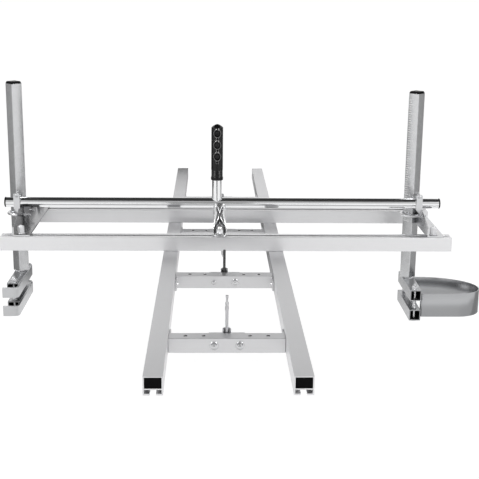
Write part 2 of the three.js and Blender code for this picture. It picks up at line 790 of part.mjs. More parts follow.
// Bolt through both ears above the push bar
function saddleBolt() {
  const boltZ = barZ + barRadius + saddleBoltRise;
  const front = barY - barRadius - earThickness - 2 * seatGap;
  const back = barY + barRadius + earThickness + 2 * seatGap;
  const x = earBoltX();
  return joined([
    between([x, front, boltZ], [x, back + saddleNutHeight, boltZ], saddleBoltDiameter / 2),
    between([x, front, boltZ], [x, front - saddleHeadHeight, boltZ],
      saddleHeadDiameter / 2, saddleHeadDiameter / 4),
    hexBetween([x, back, boltZ], [x, back + saddleNutHeight, boltZ], saddleNut),
  ]);
}

function addBracket(side, plateX) {
  const footBolt = slotBolt(flangeThickness, footWasherDiameter, footNut, footNutHeight, footBoltStub);
  addPiece(`${side}_bracket`, endBracket(), galvanised, [plateX, 0, 0]);
  addPiece(`${side}_foot_bolt_front`, footBolt, zincFastener, [plateX + footBoltOffset, frontRailY, 0]);
  addPiece(`${side}_foot_bolt_back`, footBolt, zincFastener, [plateX + footBoltOffset, backRailY, 0]);
  addPiece(`${side}_saddle_bolt`, saddleBolt(), zincFastener, [plateX, 0, 0]);
  addPiece(`${side}_u_bolt`, uBolt(), zincFastener, [plateX, 0, 0]);
}

// Square tube set on edge, with its push-in cap
function addPost(side, postX, bottom) {
  const tube = extruded(squareTube(postSize, postWall), 'xy', 0, postLength).rotate(0, 0, postTurnDegrees);
  const inner = postCorner - postWall * Math.SQRT2 - seatGap * Math.SQRT2;
  const cap = joined([
    between([0, 0, seatGap], [0, 0, postCapHeight], postCorner, postCorner - postCapTaper, squareSides),
    between([0, 0, -postCapPlugDepth], [0, 0, postCapHeight / 2], inner, inner, squareSides),
  ]);
  addPiece(`${side}_post`, tube, galvanised, [postX, postY, bottom]);
  addPiece(`${side}_post_cap`, cap, blackPlastic, [postX, postY, bottom + postLength]);
}

// Square clamp tube with its bolt holes, top at zero height, centred on the post
function clampTube() {
  let tube = extruded(squareTube(clampSize, clampWall), 'xz', clampFrontY, clampBackY)
    .translate(0, 0, -clampHalf);
  for (const y of jawBoltPlaces) {
    tube = tube.subtract(between([0, y, -clampSize - cutOverrun], [0, y, cutOverrun], jawBoltHole / 2));
  }
  return tube;
}

function clampNuts() {
  return joined(jawBoltPlaces.map((y) => hexBetween([0, y, -clampWall / 2], [0, y, jawNutHeight], jawNut)
    .subtract(between([0, y, -cutOverrun], [0, y, jawNutHeight + cutOverrun], jawBoltHole / 2))));
}

// Steel band welded along the inner side of a left clamp, bent across its two ends
function clampBand() {
  const side = clampHalf + bandThickness / 2 - seatGap / 2;
  const front = clampFrontY - bandReachAhead + bandThickness / 2;
  const back = clampBackY + bandReachBehind;
  const line = bentLine([
    [side - bandFrontLeg, front], [side, front], [side, back], [side - bandBackLeg, back],
  ], bandBendRadius);
  return extruded(strip(line, bandThickness), 'xy', -clampSize, 0);
}

function jawBolt(upperTop, jawGap) {
  const top = upperTop + jawNutHeight + jawBoltStub;
  const seat = upperTop - 2 * clampSize - jawGap - seatGap;
  return joined([
    between([0, 0, seat], [0, 0, top], jawBoltDiameter / 2),
    between([0, 0, seat], [0, 0, seat - jawBoltHeadHeight], jawBoltHeadDiameter / 2, jawBoltHeadDiameter / 4),
  ]);
}

// Wide steel band that bows round the nose of the saw bar
function noseGuard(postX) {
  const near = postX + clampHalf + seatGap + guardThickness / 2;
  const frontY = clampFrontY + guardFrontInset;
  const backY = frontY + guardDepth;
  const bowX = near + guardStraight;
  const ends = bentLine([[near, frontY + guardTabLength], [near, frontY], [bowX, frontY]], guardBendRadius);
  const exits = bentLine([[bowX, backY], [near, backY], [near, backY + guardTabLength]], guardBendRadius);
  const bow = [];
  for (let k = 1; k < bowSteps; k += 1) {
    const angle = Math.PI * (k / bowSteps - 1 / 2);
    bow.push(new THREE.Vector2(bowX + guardBow * Math.cos(angle),
      (frontY + backY) / 2 + guardDepth / 2 * Math.sin(angle)));
  }
  const middle = rightUpperClampTop - clampSize - rightJawGap / 2;
  return extruded(strip([...ends, ...bow, ...exits], guardThickness), 'xy',
    middle - guardHeight / 2, middle + guardHeight / 2);
}

function addClamps(side, postX, upperTop, jawGap, hasBands) {
  const lowerTop = upperTop - clampSize - jawGap;
  const tube = clampTube();
  const bare = hasBands ? tube.add(clampBand()) : tube;
  addPiece(`${side}_upper_clamp`, bare.add(clampNuts()), brightSteel, [postX, 0, upperTop]);
  addPiece(`${side}_lower_clamp`, bare, brightSteel, [postX, 0, lowerTop]);
  const bolt = jawBolt(upperTop, jawGap);
  ['front', 'back'].forEach((end, i) => {
    addPiece(`${side}_jaw_bolt_${end}`, bolt, zincFastener, [postX, jawBoltPlaces[i], 0]);
  });
}

addLadderRails();
addCrossbars();
addMillRails();
addPushBar();
addHandle();
addBrace();
for (const [side, plateX, upperTop, jawGap] of [
  ['left', leftPlateX, leftUpperClampTop, leftJawGap],
  ['right', rightPlateX, rightUpperClampTop, rightJawGap],
]) {
  const postX = plateX - postOffset;
  addBracket(side, plateX);
  addPost(side, postX, upperTop + seatGap);
  addClamps(side, postX, upperTop, jawGap, side === 'left');
}
addPiece('nose_guard', noseGuard(rightPlateX - postOffset), brightSteel);

export default mill;
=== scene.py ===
from math import cos, hypot, pi, radians, sin, sqrt, tau

import bmesh
import bpy
from mathutils import Matrix, Vector


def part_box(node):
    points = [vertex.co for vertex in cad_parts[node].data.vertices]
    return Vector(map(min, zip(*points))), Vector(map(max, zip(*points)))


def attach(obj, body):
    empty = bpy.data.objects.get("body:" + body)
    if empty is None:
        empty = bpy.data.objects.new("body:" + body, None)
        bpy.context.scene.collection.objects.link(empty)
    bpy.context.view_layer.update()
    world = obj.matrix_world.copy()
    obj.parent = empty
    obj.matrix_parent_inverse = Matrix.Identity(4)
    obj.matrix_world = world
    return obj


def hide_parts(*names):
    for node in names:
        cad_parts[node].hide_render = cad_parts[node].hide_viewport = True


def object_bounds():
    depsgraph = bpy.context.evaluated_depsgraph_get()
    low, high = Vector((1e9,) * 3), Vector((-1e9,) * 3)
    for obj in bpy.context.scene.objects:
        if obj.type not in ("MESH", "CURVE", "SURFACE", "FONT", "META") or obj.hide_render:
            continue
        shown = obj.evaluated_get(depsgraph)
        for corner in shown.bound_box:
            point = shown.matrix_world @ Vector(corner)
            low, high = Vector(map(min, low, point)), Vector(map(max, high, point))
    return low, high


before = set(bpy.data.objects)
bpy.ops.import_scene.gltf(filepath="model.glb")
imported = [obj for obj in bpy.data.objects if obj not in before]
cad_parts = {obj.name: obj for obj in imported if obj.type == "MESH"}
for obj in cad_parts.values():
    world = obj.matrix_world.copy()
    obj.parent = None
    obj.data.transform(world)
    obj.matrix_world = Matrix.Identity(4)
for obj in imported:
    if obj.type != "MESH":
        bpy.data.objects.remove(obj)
cad_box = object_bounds()

# Camera: the view of the photograph, from behind the mill and a little above it.
# Its place, turn and focal length were worked out from the lines of the ladder and of the mill.
photo_side = 479
focal_length_pixels = 948
camera_place = Vector((-0.027, -2.099, 0.603))
camera_pitch = radians(13.04)
camera_yaw = radians(1.77)
camera_roll = radians(0.64)
camera_shift = -0.10
sensor_width = 36

ahead = Vector((sin(camera_yaw) * cos(camera_pitch), cos(camera_yaw) * cos(camera_pitch),
                -sin(camera_pitch)))
level_right = Vector((cos(camera_yaw), -sin(camera_yaw), 0))
level_up = level_right.cross(ahead)
right = cos(camera_roll) * level_right + sin(camera_roll) * level_up
up = -sin(camera_roll) * level_right + cos(camera_roll) * level_up
camera = bpy.data.objects.new("photograph_camera", bpy.data.cameras.new("photograph_camera"))
camera.data.sensor_width = sensor_width
camera.data.lens = focal_length_pixels / photo_side * sensor_width
camera.data.shift_y = camera_shift
camera.matrix_world = Matrix((right, up, -ahead)).transposed().to_4x4()
camera.location = camera_place
bpy.context.scene.collection.objects.link(camera)
bpy.context.scene.camera = camera


# Ladder rails: two slotted aluminium extrusions, satin anodised, that carry the mill along the log.
# The die leaves fine lines along each rail, and its corners are eased.
mm = 0.001
rail_corner = 0.5 * mm
rail_line_stretch = (420, 3.5, 420)
smooth_angle = radians(32)
ease_angle = radians(40)
ease_segments = 2
merge_distance = 0.002 * mm
same_plane_angle = radians(0.5)


def add_node(tree, kind, inputs=None, **settings):
    made = tree.nodes.new(kind)
    for key, value in settings.items():
        setattr(made, key, value)
    for key, value in (inputs or {}).items():
        if isinstance(value, bpy.types.NodeSocket):
            tree.links.new(value, made.inputs[key])
        else:
            made.inputs[key].default_value = value
    return made


def calculate(tree, operation, *values):
    inputs = dict(enumerate(values))
    return add_node(tree, "ShaderNodeMath", inputs, operation=operation).outputs[0]


def new_group(name, kind, inputs, outputs):
    tree = bpy.data.node_groups.new(name, kind)
    for label, socket in inputs:
        tree.interface.new_socket(label, in_out="INPUT", socket_type="NodeSocket" + socket)
    for label, socket in outputs:
        tree.interface.new_socket(label, in_out="OUTPUT", socket_type="NodeSocket" + socket)
    return tree, tree.nodes.new("NodeGroupInput").outputs, tree.nodes.new("NodeGroupOutput")


def metal_surface_group():
    """Drawn or rolled metal: lines along the piece, and smudges where it is handled."""
    tree, given, out = new_group(
        "metal surface", "ShaderNodeTree",
        [("Vector", "Vector"), ("Stretch", "Vector"), ("Light", "Color"), ("Dark", "Color"),
         ("Line Share", "Float"), ("Roughness", "Float"), ("Roughness Spread", "Float")],
        [("Color", "Color"), ("Roughness", "Float"), ("Height", "Float")])
    stretched = add_node(tree, "ShaderNodeVectorMath", {0: given["Vector"], 1: given["Stretch"]},
                         operation="MULTIPLY")
    lines = add_node(tree, "ShaderNodeTexNoise",
                     {"Vector": stretched.outputs[0], "Scale": 1, "Detail": 5, "Roughness": 0.65})
    smudges = add_node(tree, "ShaderNodeTexNoise",
                       {"Vector": given["Vector"], "Scale": 11, "Detail": 4, "Roughness": 0.6})
    cloud = calculate(tree, "SUBTRACT", smudges.outputs["Fac"], 0.5)
    line = calculate(tree, "SUBTRACT", lines.outputs["Fac"], 0.5)
    shade = calculate(tree, "MULTIPLY_ADD", line, given["Line Share"],
                      calculate(tree, "ADD", cloud, 0.5))
    color = add_node(tree, "ShaderNodeMix",
                     {"Factor": shade, 6: given["Dark"], 7: given["Light"]}, data_type="RGBA")
    spread = calculate(tree, "MULTIPLY", calculate(tree, "ADD", line, cloud),
                       given["Roughness Spread"])
    tree.links.new(color.outputs[2], out.inputs["Color"])
    tree.links.new(calculate(tree, "ADD", given["Roughness"], spread), out.inputs["Roughness"])
    tree.links.new(lines.outputs["Fac"], out.inputs["Height"])
    return tree


metal_surface = metal_surface_group()


def new_material(name, metallic, group, values, bump_depth, bump_strength=0.5, plain_values=None):
    """A material whose colour, roughness and relief come from a group, and the rest from plain values."""
    material = bpy.data.materials.new(name)
    material.use_nodes = True
    tree = material.node_tree
    surface = tree.nodes["Principled BSDF"]
    for key, value in {"Metallic": metallic, **(plain_values or {})}.items():
        surface.inputs[key].default_value = value
    place = add_node(tree, "ShaderNodeTexCoord").outputs["Object"]
    finish = add_node(tree, "ShaderNodeGroup", {"Vector": place, **values}, node_tree=group)
    relief = add_node(tree, "ShaderNodeBump", {"Height": finish.outputs["Height"],
                                               "Strength": bump_strength, "Distance": bump_depth})
    tree.links.new(finish.outputs["Color"], surface.inputs["Base Color"])
    tree.links.new(finish.outputs["Roughness"], surface.inputs["Roughness"])
    tree.links.new(relief.outputs["Normal"], surface.inputs["Normal"])
    return material


def aluminium(name, stretch, shade=0.75):
    return new_material(name, 1, metal_surface, {
        "Stretch": stretch, "Light": (shade + 0.03, shade + 0.03, shade + 0.04, 1),
        "Dark": (shade - 0.06, shade - 0.06, shade - 0.05, 1),
        "Line Share": 0.5, "Roughness": 0.38, "Roughness Spread": 0.14}, 0.05 * mm)


def new_piece(name, mesh, material, sharp_angle=smooth_angle):
    """An object at the origin with its place in its mesh, shaded smooth between sharp edges."""
    mesh.name = name
    mesh.materials.clear()
    mesh.materials.append(material)
    mesh.shade_smooth()
    mesh.set_sharp_from_angle(angle=sharp_angle)
    piece = bpy.data.objects.new(name, mesh)
    bpy.context.scene.collection.objects.link(piece)
    return piece


def put_on(piece, body, finish, *nodes):
    """The piece rides on a body and stands for the named nodes. Its finish argument is not used."""
    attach(piece, body)
    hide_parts(*nodes)


def ease(piece, width):
    """Rounds the edges of a piece, as a brake press, a saw and a deburring wheel leave them."""
    edges = piece.modifiers.new("eased edges", "BEVEL")
    edges.width = width
    edges.segments = ease_segments
    edges.limit_method = "ANGLE"
    edges.angle_limit = ease_angle
    edges.harden_normals = True


def shape_of(mesh):
    shape = bmesh.new()
    shape.from_mesh(mesh)
    return shape


def kept_shape(shape, mesh=None):
    """Writes a worked shape into its mesh, or into a new one, and frees it."""
    if mesh is None:
        mesh = bpy.data.meshes.new("shape")
    shape.to_mesh(mesh)
    shape.free()
    return mesh


def merged_copy(node):
    """The faces of a rigid node joined up, with flat faces whole again."""
    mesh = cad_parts[node].data.copy()
    shape = shape_of(mesh)
    bmesh.ops.remove_doubles(shape, verts=shape.verts, dist=merge_distance)
    bmesh.ops.dissolve_limit(shape, angle_limit=same_plane_angle, verts=shape.verts, edges=shape.edges)
    bmesh.ops.connect_verts_concave(shape, faces=shape.faces)
    kept_shape(shape, mesh)
    if "custom_normal" in mesh.attributes:
        mesh.attributes.remove(mesh.attributes["custom_normal"])
    return mesh


def eased_piece(node, name, body, finish, material, width):
    piece = new_piece(name, merged_copy(node), material)
    ease(piece, width)
    put_on(piece, body, finish, node)
    return piece


ladder_aluminium = aluminium("satin aluminium along the ladder", rail_line_stretch)
for side in ("left", "right"):
    eased_piece(f"ladder_rail_{side}", f"drawn_ladder_rail_{side}", "ladder", "aluminium",
                ladder_aluminium, rail_corner)


# Rail plugs: black plastic mouldings pushed into the closed upper chamber of each ladder rail.
# Each has a shallow panel in its outer face, inside a rounded border.
plug_border = 1.6 * mm
plug_panel_depth = 0.7 * mm
plug_corner = 0.6 * mm
facing_share = 0.9


def moulded_surface_group():
    """Moulded plastic or rubber: fine grain, with a faint bloom where it is handled."""
    tree, given, out = new_group(
        "moulded surface", "ShaderNodeTree",
        [("Vector", "Vector"), ("Grain Scale", "Float"), ("Light", "Color"), ("Dark", "Color"),
         ("Roughness", "Float"), ("Roughness Spread", "Float")],
        [("Color", "Color"), ("Roughness", "Float"), ("Height", "Float")])
    grain = add_node(tree, "ShaderNodeTexNoise",
                     {"Vector": given["Vector"], "Scale": given["Grain Scale"], "Detail": 3})
    bloom = add_node(tree, "ShaderNodeTexNoise",
                     {"Vector": given["Vector"], "Scale": 38, "Detail": 4})
    color = add_node(tree, "ShaderNodeMix",
                     {"Factor": bloom.outputs["Fac"], 6: given["Dark"], 7: given["Light"]},
                     data_type="RGBA")
    spread = calculate(tree, "MULTIPLY", calculate(tree, "SUBTRACT", bloom.outputs["Fac"], 0.5),
                       given["Roughness Spread"])
    tree.links.new(color.outputs[2], out.inputs["Color"])
    tree.links.new(calculate(tree, "ADD", given["Roughness"], spread), out.inputs["Roughness"])
    tree.links.new(grain.outputs["Fac"], out.inputs["Height"])
    return tree


moulded_surface = moulded_surface_group()
black_plastic = new_material("black moulded plastic", 0, moulded_surface, {
    "Grain Scale": 2200, "Light": (0.0045, 0.0045, 0.005, 1), "Dark": (0.0015, 0.0015, 0.002, 1),
    "Roughness": 0.38, "Roughness Spread": 0.2}, 0.04 * mm, plain_values={"Specular IOR Level": 0.05})

for end, outward in (("front", -1), ("back", 1)):
    for side in ("left", "right"):
        node = f"rail_plug_{end}_{side}"
        mesh = merged_copy(node)
        shape = shape_of(mesh)
        panel = [face for face in shape.faces if face.normal.y * outward > facing_share]
        bmesh.ops.inset_region(shape, faces=panel, thickness=plug_border, depth=0)
        bmesh.ops.translate(shape, verts=list({vertex for face in panel for vertex in face.verts}),
                            vec=(0, -outward * plug_panel_depth, 0))
        plug = new_piece(f"moulded_{node}", kept_shape(shape, mesh), black_plastic)
        ease(plug, plug_corner)
        put_on(plug, "ladder", "black_plastic", node)


# Crossbars: four lengths of square aluminium tube between the ladder rails, screwed to them by end lugs.
# Each lies on the log and is drilled through for the log screws; its hole walls and the inner floor below
# them are painted near-black, as painted shade.
crossbar_edge = 0.7 * mm
crossbar_top = 25 * mm
crossbar_wall = 3 * mm
lug_room = 8 * mm
steep_share = 0.5
across_line_stretch = (3.5, 420, 420)
cross_aluminium = aluminium("satin aluminium across the ladder", across_line_stretch, 0.68)
crossbar_nodes = sorted(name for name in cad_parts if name.startswith("crossbar_"))
hole_shade_aluminium = new_material("painted shade in the crossbar holes", 0, metal_surface, {
    "Stretch": across_line_stretch, "Light": (0.03, 0.03, 0.031, 1), "Dark": (0.015, 0.015, 0.016, 1),
    "Line Share": 0.5, "Roughness": 0.6, "Roughness Spread": 0.2}, 0.03 * mm)
for node in crossbar_nodes:
    crossbar = eased_piece(node, f"drilled_{node}", "ladder", "aluminium", cross_aluminium,
                           crossbar_edge)
    crossbar.data.materials.append(hole_shade_aluminium)
    # Faces in the holes and on the inner floor below them take the painted shade.
    for face in crossbar.data.polygons:
        in_hole = abs(face.normal.z) < steep_share and face.center.z > crossbar_top - crossbar_wall
        under_hole = face.normal.z > steep_share and face.center.z < crossbar_top / 2
        if (in_hole or under_hole) and abs(face.center.x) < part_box(node)[1].x - lug_room:
            face.material_index = 1


# Rod guides: galvanised steel plates folded to a V behind each crossbar, with a neck that rises above it.
# Two bolts clamp each plate to its crossbar, and its fold holds a log rod.
guide_edge = 0.4 * mm


def spangle_group():
    """Galvanised steel: zinc crystals a few millimetres across, each with its own shade and gloss."""
    tree, given, out = new_group(
        "zinc spangle", "ShaderNodeTree",
        [("Vector", "Vector"), ("Crystal Scale", "Float"), ("Light", "Color"), ("Dark", "Color"),
         ("Roughness", "Float"), ("Roughness Spread", "Float")],
        [("Color", "Color"), ("Roughness", "Float"), ("Height", "Float")])
    bend = add_node(tree, "ShaderNodeTexNoise",
                    {"Vector": given["Vector"], "Scale": 160, "Detail": 2})
    bent = add_node(tree, "ShaderNodeVectorMath", {0: bend.outputs["Color"], 1: (0.004, 0.004, 0.004),
                                                   2: given["Vector"]}, operation="MULTIPLY_ADD")
    crystals = add_node(tree, "ShaderNodeTexVoronoi",
                        {"Vector": bent.outputs[0], "Scale": given["Crystal Scale"]})
    shade = add_node(tree, "ShaderNodeSeparateColor", {0: crystals.outputs["Color"]}).outputs[0]
    grain = add_node(tree, "ShaderNodeTexNoise",
                     {"Vector": given["Vector"], "Scale": 900, "Detail": 3})
    tone = calculate(tree, "MULTIPLY_ADD", grain.outputs["Fac"], 0.35,
                     calculate(tree, "MULTIPLY", shade, 0.65))
    color = add_node(tree, "ShaderNodeMix", {"Factor": tone, 6: given["Dark"], 7: given["Light"]},
                     data_type="RGBA")
    spread = calculate(tree, "MULTIPLY", calculate(tree, "SUBTRACT", tone, 0.5),
                       given["Roughness Spread"])
    tree.links.new(color.outputs[2], out.inputs["Color"])
    tree.links.new(calculate(tree, "ADD", given["Roughness"], spread), out.inputs["Roughness"])
    tree.links.new(calculate(tree, "ADD", tone, crystals.outputs["Distance"]), out.inputs["Height"])
    return tree


spangle = spangle_group()
guide_steel = new_material("dull galvanised steel", 1, spangle, {
    "Crystal Scale": 260, "Light": (0.80, 0.805, 0.815, 1), "Dark": (0.68, 0.685, 0.695, 1),
    "Roughness": 0.52, "Roughness Spread": 0.1}, 0.003 * mm, 0.2)
guide_nodes = sorted(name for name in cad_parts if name.startswith("rod_guide_"))
for node in guide_nodes:
    eased_piece(node, f"folded_{node}", "ladder", "galvanised", guide_steel, guide_edge)


# Guide bolts: zinc-plated M6 bolts through each crossbar and its guide, with a nut behind.
# Each has a hexagon head on a washer, but for one, whose head is smaller and has no washer.
m6_radius = 3 * mm
m6_pitch = 1 * mm
thread_depth_share = 0.3
m6_core = m6_radius - thread_depth_share * m6_pitch
guide_washer_radius = 7.35 * mm
guide_washer_thickness = 1.3 * mm
guide_head_flats = 10 * mm
guide_head_height = 4 * mm
small_head_flats = 8 * mm
guide_nut_height = 5 * mm
guide_plate = 2.5 * mm
seat_gap = 0.3 * mm
block_sides = 24
block_rows = 8
dome_sweep = radians(80)
hexagon_step = radians(60)


def block_group():
    """A round or six-sided block on the Z axis, with chamfered ends or a domed top."""
    tree, given, out = new_group(
        "turned block", "GeometryNodeTree",
        [("Radius", "Float"), ("Start", "Float"), ("End", "Float"), ("Hexagon", "Float"),
         ("Dome", "Float"), ("Edge", "Float"), ("Slope", "Float")],
        [("Geometry", "Geometry")])
    blank = add_node(tree, "GeometryNodeMeshCylinder",
                     {"Vertices": block_sides, "Side Segments": block_rows, "Radius": 1, "Depth": 2})
    place = add_node(tree, "GeometryNodeInputPosition").outputs[0]
    x, y, z = add_node(tree, "ShaderNodeSeparateXYZ", {0: place}).outputs
    turn = calculate(tree, "ADD", calculate(tree, "ARCTAN2", y, x), hexagon_step / 2)
    from_flat = calculate(tree, "SUBTRACT", calculate(tree, "FLOORED_MODULO", turn, hexagon_step),
                          hexagon_step / 2)
    corner = calculate(tree, "SUBTRACT",
                       calculate(tree, "DIVIDE", 1, calculate(tree, "COSINE", from_flat)), 1)
    side = calculate(tree, "MULTIPLY", given["Radius"],
                     calculate(tree, "MULTIPLY_ADD", corner, given["Hexagon"], 1))
    height = calculate(tree, "SUBTRACT", given["End"], given["Start"])
    level = calculate(tree, "SINE", calculate(tree, "MULTIPLY", z, pi / 2))
    from_end = calculate(tree, "MULTIPLY",
                         calculate(tree, "SUBTRACT", 1, calculate(tree, "ABSOLUTE", level)),
                         calculate(tree, "MULTIPLY", height, 0.5))
    chamfer = calculate(tree, "MULTIPLY_ADD", from_end, given["Slope"],
                        calculate(tree, "SUBTRACT", given["Radius"], given["Edge"]))
    straight = calculate(tree, "MINIMUM", side, chamfer)
    share = calculate(tree, "MULTIPLY_ADD", z, 0.5, 0.5)
    rise = calculate(tree, "MULTIPLY", share, dome_sweep)
    domed = calculate(tree, "MULTIPLY", given["Radius"], calculate(tree, "COSINE", rise))
    level_share = calculate(tree, "MULTIPLY_ADD", level, 0.5, 0.5)
    dome_share = calculate(tree, "DIVIDE", calculate(tree, "SINE", rise), sin(dome_sweep))
    dome = given["Dome"]
    radius = add_node(tree, "ShaderNodeMix", {0: dome, 2: straight, 3: domed}).outputs[0]
    lift = add_node(tree, "ShaderNodeMix", {0: dome, 2: level_share, 3: dome_share}).outputs[0]
    moved = add_node(tree, "ShaderNodeCombineXYZ", {
        "X": calculate(tree, "MULTIPLY", x, radius), "Y": calculate(tree, "MULTIPLY", y, radius),
        "Z": calculate(tree, "MULTIPLY_ADD", lift, height, given["Start"])})
    shaped = add_node(tree, "GeometryNodeSetPosition",
                      {"Geometry": blank.outputs["Mesh"], "Position": moved.outputs[0]})
    present = add_node(tree, "FunctionNodeCompare", {0: given["Radius"], 1: 0.0},
                       operation="GREATER_THAN")
    kept = add_node(tree, "GeometryNodeSwitch", {"Switch": present.outputs[0],
                                                 "True": shaped.outputs[0]}, input_type="GEOMETRY")
    tree.links.new(kept.outputs[0], out.inputs["Geometry"])
    return tree


block = block_group()
fastener_parts = ("Head", "Washer", "Nut", "Cap")
hexagon_edge_share = 0.04
shank_edge_share = 0.6
washer_edge = 0.25 * mm
thread_steps = 18


def finish_tree(tree, made, given, out):
    """Ends a tree: what it made becomes real faces in the given material."""
    real = add_node(tree, "GeometryNodeRealizeInstances", {"Geometry": made.outputs[0]})
    faced = add_node(tree, "GeometryNodeSetMaterial",
                     {"Geometry": real.outputs[0], "Material": given["Material"]})
    tree.links.new(faced.outputs[0], out.inputs["Geometry"])


def fastener_tree():
    """A bolt with its washer and nut, one at each point of the mesh, its shank along its own Z axis."""
    inputs = [("Geometry", "Geometry"), ("Turn", "Rotation"), ("Material", "Material"),
              ("Shank Radius", "Float"), ("Shank Start", "Float"), ("Shank End", "Float"),
              ("Thread Start", "Float"), ("Thread End", "Float"), ("Pitch", "Float")]
    for part in fastener_parts:
        inputs += [(f"{part} {value}", "Float") for value in ("Radius", "Start", "End")]
    inputs += [("Head Hexagon", "Float"), ("Head Dome", "Float")]
    tree, given, out = new_group("threaded fastener", "GeometryNodeTree", inputs,
                                 [("Geometry", "Geometry")])
    parts = [add_node(tree, "GeometryNodeGroup", {
        "Radius": given["Shank Radius"], "Start": given["Shank Start"], "End": given["Shank End"],
        "Edge": calculate(tree, "MULTIPLY", given["Pitch"], shank_edge_share), "Slope": 1.0},
        node_tree=block)]
    for part in fastener_parts:
        values = {value: given[f"{part} {value}"] for value in ("Radius", "Start", "End")}
        if part in ("Head", "Nut"):
            values["Hexagon"] = given["Head Hexagon"] if part == "Head" else 1.0
            values["Dome"] = given["Head Dome"] if part == "Head" else 0.0
            values["Edge"] = calculate(tree, "MULTIPLY", values["Radius"], hexagon_edge_share)
            values["Slope"] = sqrt(3)
        elif part == "Cap":
            values["Dome"] = 1.0
        else:
            values["Edge"] = washer_edge
            values["Slope"] = 1.0
        parts.append(add_node(tree, "GeometryNodeGroup", values, node_tree=block))
    thread_length = calculate(tree, "SUBTRACT", given["Thread End"], given["Thread Start"])
    helix = add_node(tree, "GeometryNodeCurveSpiral", {
        "Resolution": thread_steps, "Rotations": calculate(tree, "DIVIDE", thread_length, given["Pitch"]),
        "Start Radius": given["Shank Radius"], "End Radius": given["Shank Radius"],
        "Height": thread_length})
    ridge = add_node(tree, "GeometryNodeCurvePrimitiveCircle", {
        "Resolution": 4, "Radius": calculate(tree, "MULTIPLY", given["Pitch"], thread_depth_share)})
    thread = add_node(tree, "GeometryNodeCurveToMesh", {
        "Curve": helix.outputs[0], "Profile Curve": ridge.outputs[0], "Fill Caps": True})
    lift = add_node(tree, "ShaderNodeCombineXYZ", {"Z": given["Thread Start"]})
    lifted = add_node(tree, "GeometryNodeTransform",
                      {"Geometry": thread.outputs[0], "Translation": lift.outputs[0]})
    whole = add_node(tree, "GeometryNodeJoinGeometry")
    for part in [lifted, *parts]:
        tree.links.new(part.outputs[0], whole.inputs[0])
    seats = add_node(tree, "GeometryNodeMeshToPoints", {"Mesh": given["Geometry"]})
    copies = add_node(tree, "GeometryNodeInstanceOnPoints", {
        "Points": seats.outputs[0], "Instance": whole.outputs[0], "Rotation": given["Turn"]})
    finish_tree(tree, copies, given, out)
    return tree


fastener = fastener_tree()


def plain_mesh(holder):
    """The evaluated result of an object, as a mesh of its own."""
    bpy.context.view_layer.update()
    evaluated = holder.evaluated_get(bpy.context.evaluated_depsgraph_get())
    return bpy.data.meshes.new_from_object(evaluated)


def grown_piece(name, tree, values, points, edges=()):
    """Runs a tree on points, or on the path that edges make of them, and keeps the plain mesh."""
    seed = bpy.data.meshes.new(name)
    seed.from_pydata([tuple(point) for point in points], list(edges), [])
    piece = bpy.data.objects.new(name, seed)
    bpy.context.scene.collection.objects.link(piece)
    modifier = piece.modifiers.new(tree.name, "NODES")
    modifier.node_group = tree
    for socket in tree.interface.items_tree:
        if socket.in_out == "INPUT" and socket.name in values:
            modifier[socket.identifier] = values[socket.name]
    whole = plain_mesh(piece)
    piece.modifiers.remove(modifier)
    piece.data = whole
    whole.shade_smooth()
    whole.set_sharp_from_angle(angle=smooth_angle)
    return piece


def fastener_values(turn, pitch, thread, material, round_head=False, **parts):
    """Named inputs of a fastener: where its thread runs, and each part's radius, start and end."""
    values = {"Turn": turn, "Pitch": pitch, "Thread Start": thread[0], "Thread End": thread[1],
              "Material": material, "Head Hexagon": float(not round_head), "Head Dome": float(round_head)}
    for part, sizes in parts.items():
        for value, size in zip(("Radius", "Start", "End"), sizes):
            values[f"{part.title()} {value}"] = float(size)
    return values


def centre(node):
    low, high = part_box(node)
    return (low + high) / 2


guide_bolt_zinc = new_material("zinc of the guide bolts", 1, metal_surface, {
    "Stretch": (300, 300, 300), "Light": (0.72, 0.72, 0.73, 1), "Dark": (0.46, 0.465, 0.475, 1),
    "Line Share": 0.8, "Roughness": 0.2, "Roughness Spread": 0.2}, 0.05 * mm)
crossbar_half = (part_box(crossbar_nodes[0])[1].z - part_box(crossbar_nodes[0])[0].z) / 2
towards_front = (radians(90), 0, 0)


def guide_bolts(name, nodes, head_flats, washer_radius):
    """One piece of like bolts, each with its head before the crossbar and its nut behind the guide."""
    face = crossbar_half + seat_gap
    head_seat = face + (guide_washer_thickness if washer_radius else 0)
    nut_seat = -(crossbar_half + guide_plate + 2 * seat_gap)
    nut_end = nut_seat - guide_nut_height
    shank_end = nut_end - m6_radius / 2
    values = fastener_values(
        towards_front, m6_pitch, (shank_end + m6_pitch / 2, nut_seat), guide_bolt_zinc,
        shank=(m6_core, shank_end, head_seat + guide_head_height / 2),
        head=(head_flats / 2, head_seat, head_seat + guide_head_height),
        washer=(washer_radius, face, face + guide_washer_thickness),
        nut=(guide_head_flats / 2, nut_end, nut_seat))
    seats = []
    for node in nodes:
        guide = guide_nodes[int(node.split("_")[2]) - 1]
        bar_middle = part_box(guide)[0].y - seat_gap - crossbar_half
        seats.append((centre(node).x, bar_middle, centre(node).z))
    put_on(grown_piece(name, fastener, values, seats), "ladder", "zinc", *nodes)


guide_bolt_nodes = sorted(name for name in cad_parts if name.startswith("guide_bolt_"))
small_bolt_node = "guide_bolt_2_left"
washered_nodes = [node for node in guide_bolt_nodes if node != small_bolt_node]
guide_bolts("washered_guide_bolts", washered_nodes, guide_head_flats, guide_washer_radius)
guide_bolts("small_guide_bolt", [small_bolt_node], small_head_flats, 0)


